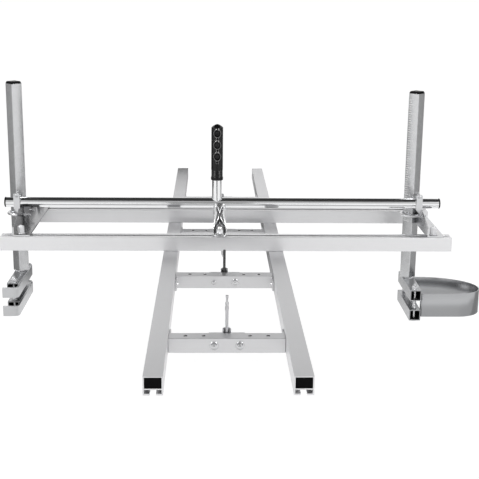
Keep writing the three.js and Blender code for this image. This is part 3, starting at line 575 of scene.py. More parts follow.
# Log rods: zinc-plated steel rods with a point below, two swells and a flared tip, and a plain dark one.
# Each slides up and down in the fold of its guide and is knocked into the log.
rod_sides = 32
rod_shank_radius = 2.6 * mm
rod_profile_shares = (
    (0.00, 0.000), (0.22, 0.030), (0.80, 0.105), (1.00, 0.125), (1.00, 0.600), (1.04, 0.625),
    (1.22, 0.660), (1.27, 0.690), (1.22, 0.720), (1.04, 0.745), (1.00, 0.760), (1.06, 0.775),
    (1.24, 0.795), (1.24, 0.810), (1.02, 0.830), (0.68, 0.850), (0.65, 0.885), (0.70, 0.910),
    (0.86, 0.955), (0.96, 0.985), (0.92, 0.998), (0.00, 1.000))
plain_rod_shares = (*rod_profile_shares[:4], (1.00, 0.980), (0.85, 1.000), (0.00, 1.000))
plain_rod_extra = 5 * mm
dark_rod = 2


def ring_mesh(rings, matrix=Matrix(), closed=False, capped=False):
    """A skin over rings of points, where one point is a pole and a closed row joins up with its start."""
    shape = bmesh.new()
    rings = [[shape.verts.new(point) for point in ring] for ring in rings]
    for low, high in zip(rings, rings[1:] + (rings[:1] if closed else [])):
        for k in range(max(len(low), len(high))):
            after = k + 1
            corners = (low[k % len(low)], low[after % len(low)],
                       high[after % len(high)], high[k % len(high)])
            shape.faces.new(list(dict.fromkeys(corners)))
    if capped:
        ends = [shape.faces.new(ring) for ring in (rings[0], rings[-1])]
        bmesh.ops.triangulate(shape, faces=ends)
    bmesh.ops.transform(shape, matrix=matrix, verts=shape.verts)
    bmesh.ops.recalc_face_normals(shape, faces=shape.faces)
    return kept_shape(shape)


def turned_ring(radius, height, sides):
    """Points round the Z axis, or a single one on it."""
    return [(radius * cos(tau * k / sides), radius * sin(tau * k / sides), height)
            for k in range(sides if radius else 1)]


def turned_mesh(profile, sides, matrix=Matrix(), closed=False):
    """A skin turned round the Z axis through (radius, height) points."""
    return ring_mesh([turned_ring(*point, sides) for point in profile], matrix, closed)


rod_steel = new_material("dull zinc of the log rods", 1, metal_surface, {
    "Stretch": (300, 300, 40), "Light": (0.62, 0.62, 0.63, 1), "Dark": (0.44, 0.445, 0.455, 1),
    "Line Share": 0.8, "Roughness": 0.42, "Roughness Spread": 0.2}, 0.05 * mm)
# The plain rod's steel is painted near-black: painted shade and a painted dark reflection.
shaded_rod_steel = new_material("blackened steel of one log rod", 1, metal_surface, {
    "Stretch": (300, 300, 40), "Light": (0.10, 0.10, 0.10, 1), "Dark": (0.03, 0.03, 0.03, 1),
    "Line Share": 0.8, "Roughness": 0.4, "Roughness Spread": 0.2}, 0.05 * mm)
for number in range(1, len(crossbar_nodes) + 1):
    node = f"log_rod_{number}"
    is_dark = number == dark_rod
    low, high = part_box(node)
    length = high.z - low.z + (plain_rod_extra if is_dark else 0)
    shares = plain_rod_shares if is_dark else rod_profile_shares
    profile = [(radius * rod_shank_radius, height * length) for radius, height in shares]
    foot = Matrix.Translation((centre(node).x, centre(node).y, low.z))
    rod = new_piece(f"turned_{node}", turned_mesh(profile, rod_sides, foot),
                    shaded_rod_steel if is_dark else rod_steel)
    put_on(rod, f"rod_{number}", "zinc", node)


# Mill rails: two lengths of the same extrusion with their slots up, one before and one behind the posts.
# They slide on the ladder rails, and the end brackets are clamped to their slots.
# The back rail is painted darker than the front rail, as painted shade.
mill_rail_tones_with_painted_shade = {"front_rail": 0.80, "back_rail": 0.74}
for node, shade in mill_rail_tones_with_painted_shade.items():
    finish = aluminium(f"satin aluminium of the {node.replace('_', ' ')}", across_line_stretch, shade)
    eased_piece(node, f"drawn_{node}", "mill", "aluminium", finish, rail_corner)


# End brackets: zinc-coated steel plates bent along the foot, creased for the post and sheared to a peak.
# Two ears rise from each peak, one on each side of the push bar. The left plate is painted darker than the
# right, as painted shade, and the faces that look to the front and back, ears and edges, are painted lighter,
# as painted light.
bracket_edge = 0.5 * mm
bracket_painted_shade_tones = {"left": 0.30, "right": 0.62}
lit_galvanised = new_material("galvanised ears and edges painted lighter", 1, spangle, {
    "Crystal Scale": 210, "Light": (0.68, 0.685, 0.695, 1), "Dark": (0.62, 0.625, 0.635, 1),
    "Roughness": 0.36, "Roughness Spread": 0.05}, 0.001 * mm, 0.05)
for side, shade in bracket_painted_shade_tones.items():
    galvanised = new_material(f"galvanised steel of the {side} bracket", 1, spangle, {
        "Crystal Scale": 210, "Light": (shade, shade, 1.02 * shade, 1),
        "Dark": (0.9 * shade, 0.9 * shade, 0.92 * shade, 1),
        "Roughness": 0.22, "Roughness Spread": 0.03}, 0.001 * mm, 0.05)
    bracket = eased_piece(f"{side}_bracket", f"bent_{side}_bracket", f"{side}_end", "galvanised",
                          galvanised, bracket_edge)
    bracket.data.materials.append(lit_galvanised)
    # Faces that look to the front or back, ears and edges, take the lighter painted copy.
    for face in bracket.data.polygons:
        if abs(face.normal.y) > facing_share:
            face.material_index = 1


# Foot bolts: M8 bolts whose oblong heads slide in the rails' slots, with a washer on each bracket's foot.
# The nuts are high, of satin zinc, and end in a small dome.
m8_radius = 4 * mm
m8_pitch = 1.25 * mm
m8_core = m8_radius - thread_depth_share * m8_pitch
foot_washer_radius = 8.5 * mm
foot_washer_thickness = 1.6 * mm
foot_nut_flats = 13 * mm
foot_nut_height = 14 * mm
foot_dome = (4.2 * mm, 3.8 * mm)
dome_sink = 1 * mm
foot_plate = 3 * mm
slide_head_half_length = 6.5 * mm
slide_head_height = 5.1 * mm
slide_head_edge = 0.5 * mm
slide_head_edge_steps = 2
round_profile_share = 0.5
rail_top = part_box("front_rail")[1].z
upright = (0, 0, 0)
satin_zinc = new_material("satin zinc of the foot bolts", 0.5, metal_surface, {
    "Stretch": (300, 300, 300), "Light": (0.82, 0.82, 0.83, 1), "Dark": (0.68, 0.685, 0.70, 1),
    "Line Share": 0.8, "Roughness": 0.34, "Roughness Spread": 0.2}, 0.05 * mm)


def slide_head(node):
    """The oblong head of a slot bolt, as wide as the node and low in the rail's slot."""
    low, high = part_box(node)
    half_sizes = (slide_head_half_length, (high.y - low.y) / 2, slide_head_height / 2)
    shape = bmesh.new()
    bmesh.ops.create_cube(shape, size=2)
    bmesh.ops.scale(shape, vec=half_sizes, verts=shape.verts)
    bmesh.ops.translate(shape, vec=(centre(node).x, centre(node).y, low.z + slide_head_height / 2),
                        verts=shape.verts)
    bmesh.ops.bevel(shape, geom=shape.edges, offset=slide_head_edge, segments=slide_head_edge_steps,
                    affect="EDGES", profile=round_profile_share)
    return kept_shape(shape)


def add_mesh(piece, mesh):
    """Adds a mesh to a piece's own."""
    shape = shape_of(piece.data)
    shape.from_mesh(mesh)
    kept_shape(shape, piece.data)
    bpy.data.meshes.remove(mesh)


def slot_bolts(name, nodes, body, plate, washer_radius, nut_height, dome, material):
    """M8 bolts that stand in a rail's slot, each with an oblong head, a washer and a domed nut."""
    washer = rail_top + seat_gap + plate + seat_gap
    nut = washer + foot_washer_thickness
    nut_end = nut + nut_height
    dome_radius, dome_rise = dome
    values = fastener_values(
        upright, m8_pitch, (washer - foot_plate, nut + m8_pitch), material,
        shank=(m8_core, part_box(nodes[0])[0].z + slide_head_height / 2, nut_end),
        washer=(washer_radius, washer, nut), nut=(foot_nut_flats / 2, nut, nut_end),
        cap=(dome_radius, nut_end - dome_sink, nut_end - dome_sink + dome_rise))
    bolts = grown_piece(name, fastener, values, [(centre(node).x, centre(node).y, 0) for node in nodes])
    for node in nodes:
        add_mesh(bolts, slide_head(node))
    put_on(bolts, body, "zinc", *nodes)


for side in ("left", "right"):
    slot_bolts(f"{side}_slot_bolts", [f"{side}_foot_bolt_{end}" for end in ("front", "back")],
               f"{side}_end", foot_plate, foot_washer_radius, foot_nut_height, foot_dome, satin_zinc)


# U-bolts: zinc-plated 6 mm rod bent round each post, through the bracket's plate, with washers and nuts.
# Tightened, they hold the post at its depth.
u_bolt_radius = 3 * mm
u_bolt_washer_radius = 5 * mm
u_bolt_nut_flats = 10 * mm
u_bolt_nut_height = 5 * mm
u_bolt_arc_steps = 40
u_bolt_corner_steps = 5
foot_bolt_from_plate = 16 * mm
zinc = new_material("zinc-plated fasteners", 1, metal_surface, {
    "Stretch": (300, 300, 300), "Light": (0.80, 0.80, 0.81, 1), "Dark": (0.58, 0.585, 0.60, 1),
    "Line Share": 0.8, "Roughness": 0.24, "Roughness Spread": 0.2}, 0.05 * mm)


def bent_bar_tree():
    """A bar of round or oblong section swept along the path that the mesh's edges make."""
    tree, given, out = new_group(
        "bent bar", "GeometryNodeTree",
        [("Geometry", "Geometry"), ("Width", "Float"), ("Height", "Float"), ("Corner", "Float"),
         ("Corner Steps", "Int"), ("Material", "Material")], [("Geometry", "Geometry")])
    path = add_node(tree, "GeometryNodeMeshToCurve", {"Mesh": given["Geometry"]})
    level = add_node(tree, "GeometryNodeSetCurveNormal", {"Curve": path.outputs[0]}, mode="Z_UP")
    section = add_node(tree, "GeometryNodeCurvePrimitiveQuadrilateral",
                       {"Width": given["Width"], "Height": given["Height"]})
    rounded = add_node(tree, "GeometryNodeFilletCurve", {
        "Curve": section.outputs[0], "Radius": given["Corner"], "Count": given["Corner Steps"],
        "Limit Radius": True}, mode="POLY")
    swept = add_node(tree, "GeometryNodeCurveToMesh", {
        "Curve": level.outputs[0], "Profile Curve": rounded.outputs[0], "Fill Caps": True})
    finish_tree(tree, swept, given, out)
    return tree


bent_bar = bent_bar_tree()


def swept_piece(name, path, width, height, corner, corner_steps, material):
    edges = [(k, k + 1) for k in range(len(path) - 1)]
    values = {"Width": width, "Height": height, "Corner": corner, "Corner Steps": corner_steps,
              "Material": material}
    return grown_piece(name, bent_bar, values, path, edges)


def join_into(piece, extra):
    """Adds another object's mesh to a piece and removes that object."""
    mesh = extra.data
    bpy.data.objects.remove(extra)
    add_mesh(piece, mesh)
    piece.data.set_sharp_from_angle(angle=smooth_angle)


for side in ("left", "right"):
    node = f"{side}_u_bolt"
    low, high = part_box(node)
    post = centre(f"{side}_post")
    level = centre(node).z
    bend = post.x - low.x - u_bolt_radius
    plate = centre(f"{side}_foot_bolt_front").x - foot_bolt_from_plate
    washer = plate + foot_plate / 2 + seat_gap
    nut = washer + foot_washer_thickness
    path = [Vector((nut, post.y - bend, level))]
    for k in range(u_bolt_arc_steps + 1):
        angle = pi * k / u_bolt_arc_steps
        path.append(Vector((post.x - bend * sin(angle), post.y - bend * cos(angle), level)))
    path.append(Vector((nut, post.y + bend, level)))
    u_bolt = swept_piece(f"bent_{node}", path, 2 * u_bolt_radius, 2 * u_bolt_radius,
                         u_bolt_radius, u_bolt_corner_steps, zinc)
    values = fastener_values(
        (0, radians(90), 0), m6_pitch, (nut, high.x - m6_pitch), zinc,
        shank=(u_bolt_radius - thread_depth_share * m6_pitch, nut, high.x - m6_pitch / 2),
        washer=(u_bolt_washer_radius, washer, nut),
        nut=(u_bolt_nut_flats / 2, nut, nut + u_bolt_nut_height))
    legs = [(0, post.y - bend, level), (0, post.y + bend, level)]
    join_into(u_bolt, grown_piece(f"{node}_nuts", fastener, values, legs))
    put_on(u_bolt, f"{side}_end", "zinc", node)


# Push bar: bright chromed steel tube that lies on both brackets between their ears.
# A black plastic cap closes each end, with a ribbed plug that grips the bore.
bar_sides = 96
bar_wall = 1.5 * mm
bar_rim = 0.4 * mm
bar_low, bar_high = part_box("push_bar")
bar_radius = (bar_high.z - bar_low.z) / 2
bar_y = (bar_low.y + bar_high.y) / 2
bar_z = (bar_low.z + bar_high.z) / 2
bar_middle = Vector((0, bar_y, bar_z))
chrome = new_material("bright chrome", 1, metal_surface, {
    "Stretch": (60, 60, 60), "Light": (0.84, 0.845, 0.85, 1), "Dark": (0.78, 0.785, 0.795, 1),
    "Line Share": 0.3, "Roughness": 0.07, "Roughness Spread": 0.05}, 0.01 * mm, 0.15)


def tube_profile(radius, wall, start, end, rim):
    """The section of a tube's wall with eased rims, as (radius, height) points."""
    bore = radius - wall
    return [(bore, start + rim), (bore + rim, start), (radius - rim, start), (radius, start + rim),
            (radius, end - rim), (radius - rim, end), (bore + rim, end), (bore, end - rim)]


bar_profile = tube_profile(bar_radius, bar_wall, bar_low.x, bar_high.x, bar_rim)
bar_axis = Matrix.Translation(bar_middle) @ Matrix.Rotation(radians(90), 4, "Y")
push_bar = new_piece("chromed_push_bar", turned_mesh(bar_profile, bar_sides, bar_axis, True), chrome)
put_on(push_bar, "mill", "chrome", "push_bar")

cap_flange = 2.5 * mm
cap_rim = 0.8 * mm
cap_round_share = 0.3
cap_plug_ribs = 3
for side, outward in (("left", -1), ("right", 1)):
    node = f"push_bar_cap_{side}"
    low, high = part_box(node)
    length = high.x - low.x
    face = bar_radius - cap_rim
    plug = bar_radius - bar_wall - seat_gap
    profile = [(0, 0), (plug - cap_rim, 0), (plug, cap_rim)]
    for k in range(cap_plug_ribs):
        step = (length - cap_flange) * (k + 1) / (cap_plug_ribs + 1)
        profile += [(plug, step - cap_rim), (plug - cap_rim / 2, step), (plug, step + cap_rim)]
    rounding = cap_round_share * cap_rim
    profile += [(plug, length - cap_flange), (bar_radius, length - cap_flange),
                (bar_radius, length - cap_rim), (bar_radius - rounding, length - rounding),
                (face, length), (face / 2, length), (0, length)]
    inner_end = Vector((low.x if outward > 0 else high.x, bar_y, bar_z))
    cap_axis = Matrix.Translation(inner_end) @ Matrix.Rotation(outward * radians(90), 4, "Y")
    cap = new_piece(f"moulded_{node}", turned_mesh(profile, bar_sides, cap_axis), black_plastic)
    put_on(cap, "mill", "black_plastic", node)


# Saddle bolts: zinc-plated M6 bolts through both ears just above the push bar, round heads to the front.
# They close the ears on the bar.
saddle_head_radius = 3.8 * mm
saddle_head_height = 2.4 * mm
saddle_nut_flats = 9 * mm
saddle_nut_height = 4 * mm
ear_thickness = 3 * mm
saddle_reach = bar_radius + ear_thickness + 2 * seat_gap
saddle_end = -saddle_reach - saddle_nut_height
for side in ("left", "right"):
    node = f"{side}_saddle_bolt"
    values = fastener_values(
        towards_front, m6_pitch, (saddle_end + m6_pitch / 2, -saddle_reach + m6_pitch), rod_steel,
        round_head=True, shank=(m6_core, saddle_end, saddle_reach),
        head=(saddle_head_radius, saddle_reach, saddle_reach + saddle_head_height),
        nut=(saddle_nut_flats / 2, saddle_end, -saddle_reach))
    seat = (centre(node).x, bar_y, centre(node).z)
    put_on(grown_piece(f"button_{node}", fastener, values, [seat]), f"{side}_end", "zinc", node)


# Handle stem: chromed steel tube standing on the push bar and welded to it.
# Its foot is cut to the bar's round.
stem_low, stem_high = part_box("handle_stem")
stem_radius = (stem_high.x - stem_low.x) / 2
stem_x = (stem_low.x + stem_high.x) / 2
stem_wall = 1.5 * mm
stem_sides = 64
blank_length = 1


def saddle_height(y):
    """Height of the push bar's top, with its gap, at this distance from the bar's middle."""
    return bar_z + sqrt((bar_radius + seat_gap) ** 2 - y ** 2)


# The blank is one metre long, and then each of its ends moves to its own height.
blank_profile = tube_profile(stem_radius, stem_wall, 0, blank_length, bar_rim)
stem_mesh = turned_mesh(blank_profile, stem_sides, closed=True)
for vertex in stem_mesh.vertices:
    x, y, level = vertex.co
    height = saddle_height(y) + level if level < blank_length / 2 else stem_high.z + level - blank_length
    vertex.co = (stem_x + x, bar_y + y, height)
stem = new_piece("chromed_handle_stem", stem_mesh, chrome)
put_on(stem, "mill", "chrome", "handle_stem")


# Weld beads: rippled beads of steel that join the stem to the bar and each post to its clamp.
# They are plated with the pieces.
bead_pitch = 1.3 * mm
bead_steps_per_pitch = 4
bead_uneven_share = 0.12
bead_ripple_share = 0.16
bead_sides = 10
stem_bead_radius = 0.8 * mm
stem_bead_lift = 0.2 * mm
stem_bead_points = 72
stem_bead_seed = 3


def weld_tree():
    """A rippled bead along the path that the mesh's edges make."""
    tree, given, out = new_group(
        "weld bead", "GeometryNodeTree",
        [("Geometry", "Geometry"), ("Radius", "Float"), ("Pitch", "Float"), ("Seed", "Int"),
         ("Material", "Material")], [("Geometry", "Geometry")])
    path = add_node(tree, "GeometryNodeMeshToCurve", {"Mesh": given["Geometry"]})
    spacing = calculate(tree, "MULTIPLY", given["Pitch"], 1 / bead_steps_per_pitch)
    even = add_node(tree, "GeometryNodeResampleCurve",
                    {"Curve": path.outputs[0], "Length": spacing}, mode="LENGTH")
    index = add_node(tree, "GeometryNodeInputIndex").outputs[0]
    ripple = calculate(tree, "SINE", calculate(tree, "MULTIPLY", index, tau / bead_steps_per_pitch))
    uneven = add_node(tree, "FunctionNodeRandomValue", {
        2: -bead_uneven_share, 3: bead_uneven_share, "Seed": given["Seed"]},
        data_type="FLOAT").outputs[1]
    size = calculate(tree, "ADD", calculate(tree, "MULTIPLY_ADD", ripple, bead_ripple_share, 1.0), uneven)
    section = add_node(tree, "GeometryNodeCurvePrimitiveCircle",
                       {"Resolution": bead_sides, "Radius": given["Radius"]})
    swept = add_node(tree, "GeometryNodeCurveToMesh", {
        "Curve": even.outputs[0], "Profile Curve": section.outputs[0], "Scale": size})
    finish_tree(tree, swept, given, out)
    return tree


weld = weld_tree()
weld_steel = new_material("plated weld", 1, metal_surface, {
    "Stretch": (500, 500, 500), "Light": (0.52, 0.52, 0.53, 1), "Dark": (0.30, 0.30, 0.31, 1),
    "Line Share": 0.9, "Roughness": 0.34, "Roughness Spread": 0.25}, 0.15 * mm)


def weld_piece(name, loop, radius, seed, body):
    """A bead round a closed loop of points, riding on a body."""
    edges = [(k, (k + 1) % len(loop)) for k in range(len(loop))]
    values = {"Radius": radius, "Pitch": bead_pitch, "Seed": seed, "Material": weld_steel}
    bead = grown_piece(name, weld, values, loop, edges)
    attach(bead, body)


stem_loop = [(stem_x + x, bar_y + y, saddle_height(y) + stem_bead_lift)
             for x, y, level in turned_ring(stem_radius, 0, stem_bead_points)]
weld_piece("stem_weld", stem_loop, stem_bead_radius, stem_bead_seed, "mill")


# Handle grip: a black rubber sleeve pushed on the stem, with a pointed crown and a collar.
# Round finger hollows with raised rims run down its front and back above fine ribs.
# The rims are polished by the hand, and the rubber in the hollows is painted near-black and dull, as painted
# shade.
grip_foot_lift = 6.5 * mm
grip_top_lift = 3 * mm
grip_low, grip_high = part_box("handle_grip")
grip_low.z += grip_foot_lift
grip_high.z += grip_top_lift
grip_length = grip_high.z - grip_low.z
grip_radius = (grip_high.x - grip_low.x) / 2
grip_bore = stem_radius + seat_gap
grip_sides = 180
grip_steps = 320
crown_height = 7 * mm
crown_power = 0.62
collar_height = 6 * mm
collar_edge = 0.4 * mm
collar_edge_height = 1 * mm
rib_start = 7 * mm
rib_end = 22 * mm
rib_pitch = 2.5 * mm
rib_depth = 0.7 * mm
hollow_columns = 2
hollow_rows = 3
hollow_radius = 7.2 * mm
hollow_depth = 2.6 * mm
hollow_power = 0.8
hollow_lip = 0.6 * mm
hollow_lip_share = 0.3
hollow_drop = 19 * mm
hollow_pitch = 25 * mm
small_hollow_radius = 2.6 * mm
small_hollow_depth = 0.9 * mm
hollow_kinds = ((hollow_rows, hollow_drop, hollow_radius, hollow_depth),
                (hollow_rows + 1, hollow_drop - hollow_pitch / 2, small_hollow_radius, small_hollow_depth))
grip_bore_room = 0.5 * mm
grip_sharp_angle = radians(50)
shade_depth_share = 0.25
polished_lip_share = 0.85


def rubber_material(name, light, dark, roughness, spread, bump_depth, plain_values):
    return new_material(name, 0, moulded_surface, {
        "Grain Scale": 1500, "Light": (*light, 1), "Dark": (*dark, 1), "Roughness": roughness,
        "Roughness Spread": spread}, bump_depth, plain_values=plain_values)


rubber = rubber_material("black rubber", (0.007, 0.007, 0.0075), (0.002, 0.002, 0.0025),
                         0.17, 0.12, 0.02 * mm, {"Specular IOR Level": 0.3})
hollow_shade_rubber = rubber_material("painted shade in the grip hollows", (0.0015, 0.0015, 0.002),
                              (0.0005, 0.0005, 0.0006), 0.5, 0.1, 0.02 * mm, {"Specular IOR Level": 0.03})
shiny_rubber = rubber_material("polished rims of the hollows", (0.008, 0.008, 0.008),
                               (0.004, 0.004, 0.004), 0.12, 0.02, 0.005 * mm, {"IOR": 2.2})


def hollow(distance, radius, depth):
    """How far a round hollow with a soft rim presses in, at this distance from its middle."""
    share = distance / radius
    if share < 1:
        return depth * (1 - share ** 2) ** hollow_power
    if share < 1 + hollow_lip_share:
        return -hollow_lip * sin(pi * (share - 1) / hollow_lip_share)
    return 0


def pressed_in(angle, height, radius):
    """The strongest press, inwards or outwards, of any hollow at this spot."""
    strongest = 0
    for rows, drop, size, depth in hollow_kinds:
        for row in range(rows):
            level = grip_length - drop - row * hollow_pitch
            for k in range(hollow_columns):
                around = (angle - k * tau / hollow_columns + pi) % tau - pi
                distance = hypot(radius * around, height - level)
                strongest = max(strongest, hollow(distance, size, depth), key=abs)
    return strongest


def grip_surface(angle, height):
    """Radius of the grip at an angle and a height above its foot."""
    radius = grip_radius - hollow_lip
    if height > grip_length - crown_height:
        share = (height - grip_length + crown_height) / crown_height
        return radius * (1 - share) ** crown_power if share < 1 else 0
    if height < collar_height:
        return grip_radius - collar_edge * (height < collar_edge_height)
    if rib_start < height < rib_end:
        return radius - rib_depth * (0.5 - 0.5 * cos(tau * (height - rib_start) / rib_pitch))
    return radius - pressed_in(angle, height, radius)


bore_top = stem_high.z + seat_gap - grip_low.z
rings = [turned_ring(radius, height, grip_sides)
         for radius, height in ((0, bore_top), (grip_bore, bore_top), (grip_bore, 0))]
for step in range(grip_steps):
    height = grip_length * step / grip_steps
    ring = []
    for k in range(grip_sides):
        angle = tau * k / grip_sides
        radius = grip_surface(angle - pi / 2, height)
        ring.append((radius * cos(angle), radius * sin(angle), height))
    rings.append(ring)
rings.append([(0, 0, grip_length)])
grip = new_piece("rubber_handle_grip", ring_mesh(rings, Matrix.Translation((stem_x, bar_y, grip_low.z))),
                 rubber, grip_sharp_angle)
grip.data.materials.append(hollow_shade_rubber)
grip.data.materials.append(shiny_rubber)
# Faces deep in the hollows take the painted shade, and the rims the glossier rubber.
pressed_radius = grip_radius - hollow_lip - shade_depth_share * hollow_depth
polished_radius = grip_radius - polished_lip_share * hollow_lip
for face in grip.data.polygons:
    from_axis = hypot(face.center.x - stem_x, face.center.y - bar_y)
    if rib_end < face.center.z - grip_low.z < grip_length - crown_height:
        if grip_bore + grip_bore_room < from_axis < pressed_radius:
            face.material_index = 1
        elif from_axis > polished_radius:
            face.material_index = 2
put_on(grip, "mill", "black_rubber", "handle_grip")


# Handle brace: chromed steel tube from under the push bar to the front rail, its lower end crushed flat.
# The crush runs up the tube to a point, two creases run on from there, and the flat foot is bolted down.
# The creases are painted darker than the rest, as painted shade.
brace_low, brace_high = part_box("handle_brace")
brace_x = (brace_low.x + brace_high.x) / 2
tube_half_width = 13.2 * mm
tube_half_depth = 8.5 * mm
tube_power = 2
foot_half_width = (brace_high.x - brace_low.x) / 2
foot_half_thickness = 1.75 * mm
foot_power = 6
foot_length = 27 * mm
foot_z = brace_low.z + foot_half_thickness
brace_wall = 1.6 * mm
crushed_walls = 2
grooved_walls = 1.2
crease_depth = 2.2 * mm
brace_stations = 180
brace_columns = 120
brace_sharp_angle = radians(60)
brace_bend = Vector((0, brace_low.y + foot_length, foot_z))
brace_slope = brace_bend - bar_middle
slope_length = brace_slope.length
brace_slope.normalize()

# Places along the brace, as shares of its way from the push bar to its tip.
parting_share = 0.08
flattening_share = 0.22
narrowing_share = 0.30
crossing_share = 0.35
widest_share = 0.56
foot_share = 0.70
closing_shares = (0.72, 0.92)
tip_share = 0.92
bend_half_share = 0.08
crush_start_share = crossing_share - 0.02
crush_end_share = crossing_share + 0.10
groove_start_shares = (0.06, 0.16)
groove_end_share = crossing_share + 0.06
crease_shade_shares = (0.07, 0.93)

# Places and widths across the brace, as shares of its half width.
crease_top_share = 0.42
crease_least_share = 0.02
crease_spread_share = 0.70
crease_return_share = 0.30
crease_inner_share = 0.14
crease_outer_share = 0.12
groove_width_share = 0.10
crease_shade_half_share = 0.11
tip_cut_share = 0.75


def smooth_share(value, low, high):
    """How far a value has gone from low to high, easing out of one and into the other."""
    share = min(max((value - low) / (high - low), 0), 1)
    return share * share * (3 - 2 * share)


def crease_place(share):
    """Where the creases lie across the brace: close together, crossing, then wide round the nut."""
    if share < crossing_share:
        parted = 1 - smooth_share(share, parting_share, crossing_share)
        return crease_top_share * parted + crease_least_share
    spread = crease_spread_share * smooth_share(share, crossing_share, widest_share)
    return crease_least_share + spread - crease_return_share * smooth_share(share, *closing_shares)


def is_dark_crease(across, side, share):
    """Whether this spot of the upper skin lies in a crease, where shade is painted."""
    beside = abs(abs(across) - crease_place(share))
    return side > 0 and crease_shade_shares[0] < share < crease_shade_shares[1] and beside < crease_shade_half_share


def brace_offset(across, side, share):
    """Distance of the brace's upper or lower skin from its middle plane."""
    flat = smooth_share(share, flattening_share, foot_share)
    depth = tube_half_depth + (foot_half_thickness - tube_half_depth) * flat
    power = tube_power + (foot_power - tube_power) * flat
    skin = depth * max(1 - abs(across) ** power, 0) ** (1 / power)
    if side < 0:
        return -skin
    crease = crease_place(share)
    inside = 1 - smooth_share(abs(across), crease - crease_inner_share, crease + crease_outer_share)
    crushed = inside * smooth_share(share, crush_start_share, crush_end_share)
    floor = -depth + crushed_walls * brace_wall
    skin += (min(floor, skin) - skin) * crushed
    fade = smooth_share(share, *groove_start_shares) * (1 - smooth_share(share, groove_end_share, foot_share))
    groove = crease_depth * fade * 2 ** (-((abs(across) - crease) / groove_width_share) ** 2)
    lowest = -depth + grooved_walls * brace_wall
    return max(skin - groove, lowest) if lowest < 0 else skin


def brace_ring(share, columns):
    """Points round the brace at this share of its way, over its upper skin and back under it."""
    turn = smooth_share(share, foot_share - bend_half_share, foot_share + bend_half_share)
    along = brace_slope.lerp(Vector((0, -1, 0)), turn).normalized()
    over = Vector((0, along.z, -along.y))
    over = over if over.z > 0 else -over
    narrowed = smooth_share(share, narrowing_share, foot_share)
    half_width = tube_half_width + (foot_half_width - tube_half_width) * narrowed
    half_width *= sqrt(1 - tip_cut_share * max(0, (share - tip_share) / (1 - tip_share)) ** 2)
    ring = []
    for across, side in columns:
        offset = brace_offset(across, side, share)
        if share < foot_share:
            saddle = sqrt((bar_radius + seat_gap) ** 2 - offset ** 2)
            run = saddle + (slope_length - saddle) * share / foot_share
            place = brace_bend - brace_slope * (slope_length - run)
        else:
            place = brace_bend + Vector((0, -foot_length, 0)) * (share - foot_share) / (1 - foot_share)
        ring.append(place + Vector((brace_x + across * half_width, 0, 0)) + over * offset)
    return ring


columns = [(-cos(pi * k / brace_columns), 1) for k in range(brace_columns + 1)]
columns += [(-across, -1) for across, side in columns[1:-1]]
rings = [brace_ring(step / brace_stations, columns) for step in range(brace_stations + 1)]
brace_chrome = new_material("satin chrome of the crushed tube", 0.85, metal_surface, {
    "Stretch": (90, 90, 90), "Light": (0.74, 0.745, 0.75, 1), "Dark": (0.64, 0.645, 0.655, 1),
    "Line Share": 0.3, "Roughness": 0.2, "Roughness Spread": 0.08}, 0.01 * mm, 0.15)
crease_shade_chrome = new_material("painted shade in the creases", 1, metal_surface, {
    "Stretch": (90, 90, 90), "Light": (0.13, 0.13, 0.135, 1), "Dark": (0.06, 0.06, 0.062, 1),
    "Line Share": 0.3, "Roughness": 0.3, "Roughness Spread": 0.08}, 0.01 * mm, 0.15)
brace = new_piece("crushed_handle_brace", ring_mesh(rings, capped=True), brace_chrome, brace_sharp_angle)
brace.data.materials.append(crease_shade_chrome)
# Faces in the creases take the painted shade.
for step in range(brace_stations):
    for k, (across, side) in enumerate(columns):
        if is_dark_crease(across, side, step / brace_stations):
            brace.data.polygons[step * len(columns) + k].material_index = 1
put_on(brace, "mill", "chrome", "handle_brace")


# Brace bolt: an M8 slot bolt through the brace's flat foot, of zinc-plated steel, with a wide washer.
# A bright domed nut covers the end of its thread.
brace_washer_radius = 9 * mm
brace_nut_height = 7.5 * mm
brace_dome = (6.2 * mm, 8.5 * mm)
slot_bolts("domed_brace_bolt", ["brace_bolt"], "mill", 2 * foot_half_thickness, brace_washer_radius,
           brace_nut_height, brace_dome, brace_chrome)


# Depth posts: galvanised square steel tubes set on edge in the brackets' creases.
# A depth scale is stamped down one face of the right one, with a tick every 5 mm and plain numbers.
post_size = 25 * mm
post_wall = 2 * mm
post_corner = 1.4 * mm
least_corner = 0.3 * mm
post_edge = 0.3 * mm
corner_steps = 5


def rounded_square(half, corner):
    """Points of a square with round corners, and its middle at zero."""
    points = []
    for quarter in range(4):
        middle = Vector((half - corner, half - corner))
        middle.rotate(Matrix.Rotation(quarter * pi / 2, 2))
        for k in range(corner_steps + 1):
            angle = pi / 2 * (quarter + k / corner_steps)
            points.append(middle + corner * Vector((cos(angle), sin(angle))))
    return points


def square_tube(size, wall, corner, start, end, matrix):
    """Square tube along Z, open at both ends."""
    outer = rounded_square(size / 2, corner)
    inner = rounded_square(size / 2 - wall, max(corner - wall, least_corner))
    rings = [[(point.x, point.y, z) for point in points]
             for points, z in ((outer, start), (outer, end), (inner, end), (inner, start))]
    return ring_mesh(rings, matrix, closed=True)


post_steel = new_material("galvanised post steel", 1, spangle, {
    "Crystal Scale": 120, "Light": (0.68, 0.685, 0.695, 1), "Dark": (0.61, 0.615, 0.625, 1),
    "Roughness": 0.24, "Roughness Spread": 0.05}, 0.003 * mm, 0.15)
for side in ("left", "right"):
    node = f"{side}_post"
    low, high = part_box(node)
    foot = Matrix.Translation((centre(node).x, centre(node).y, 0))
    tube = square_tube(post_size, post_wall, post_corner, low.z, high.z,
                       foot @ Matrix.Rotation(radians(45), 4, "Z"))
    post = new_piece(f"drawn_{node}", tube, post_steel)
    ease(post, post_edge)
    put_on(post, f"{side}_depth", "galvanised", node)

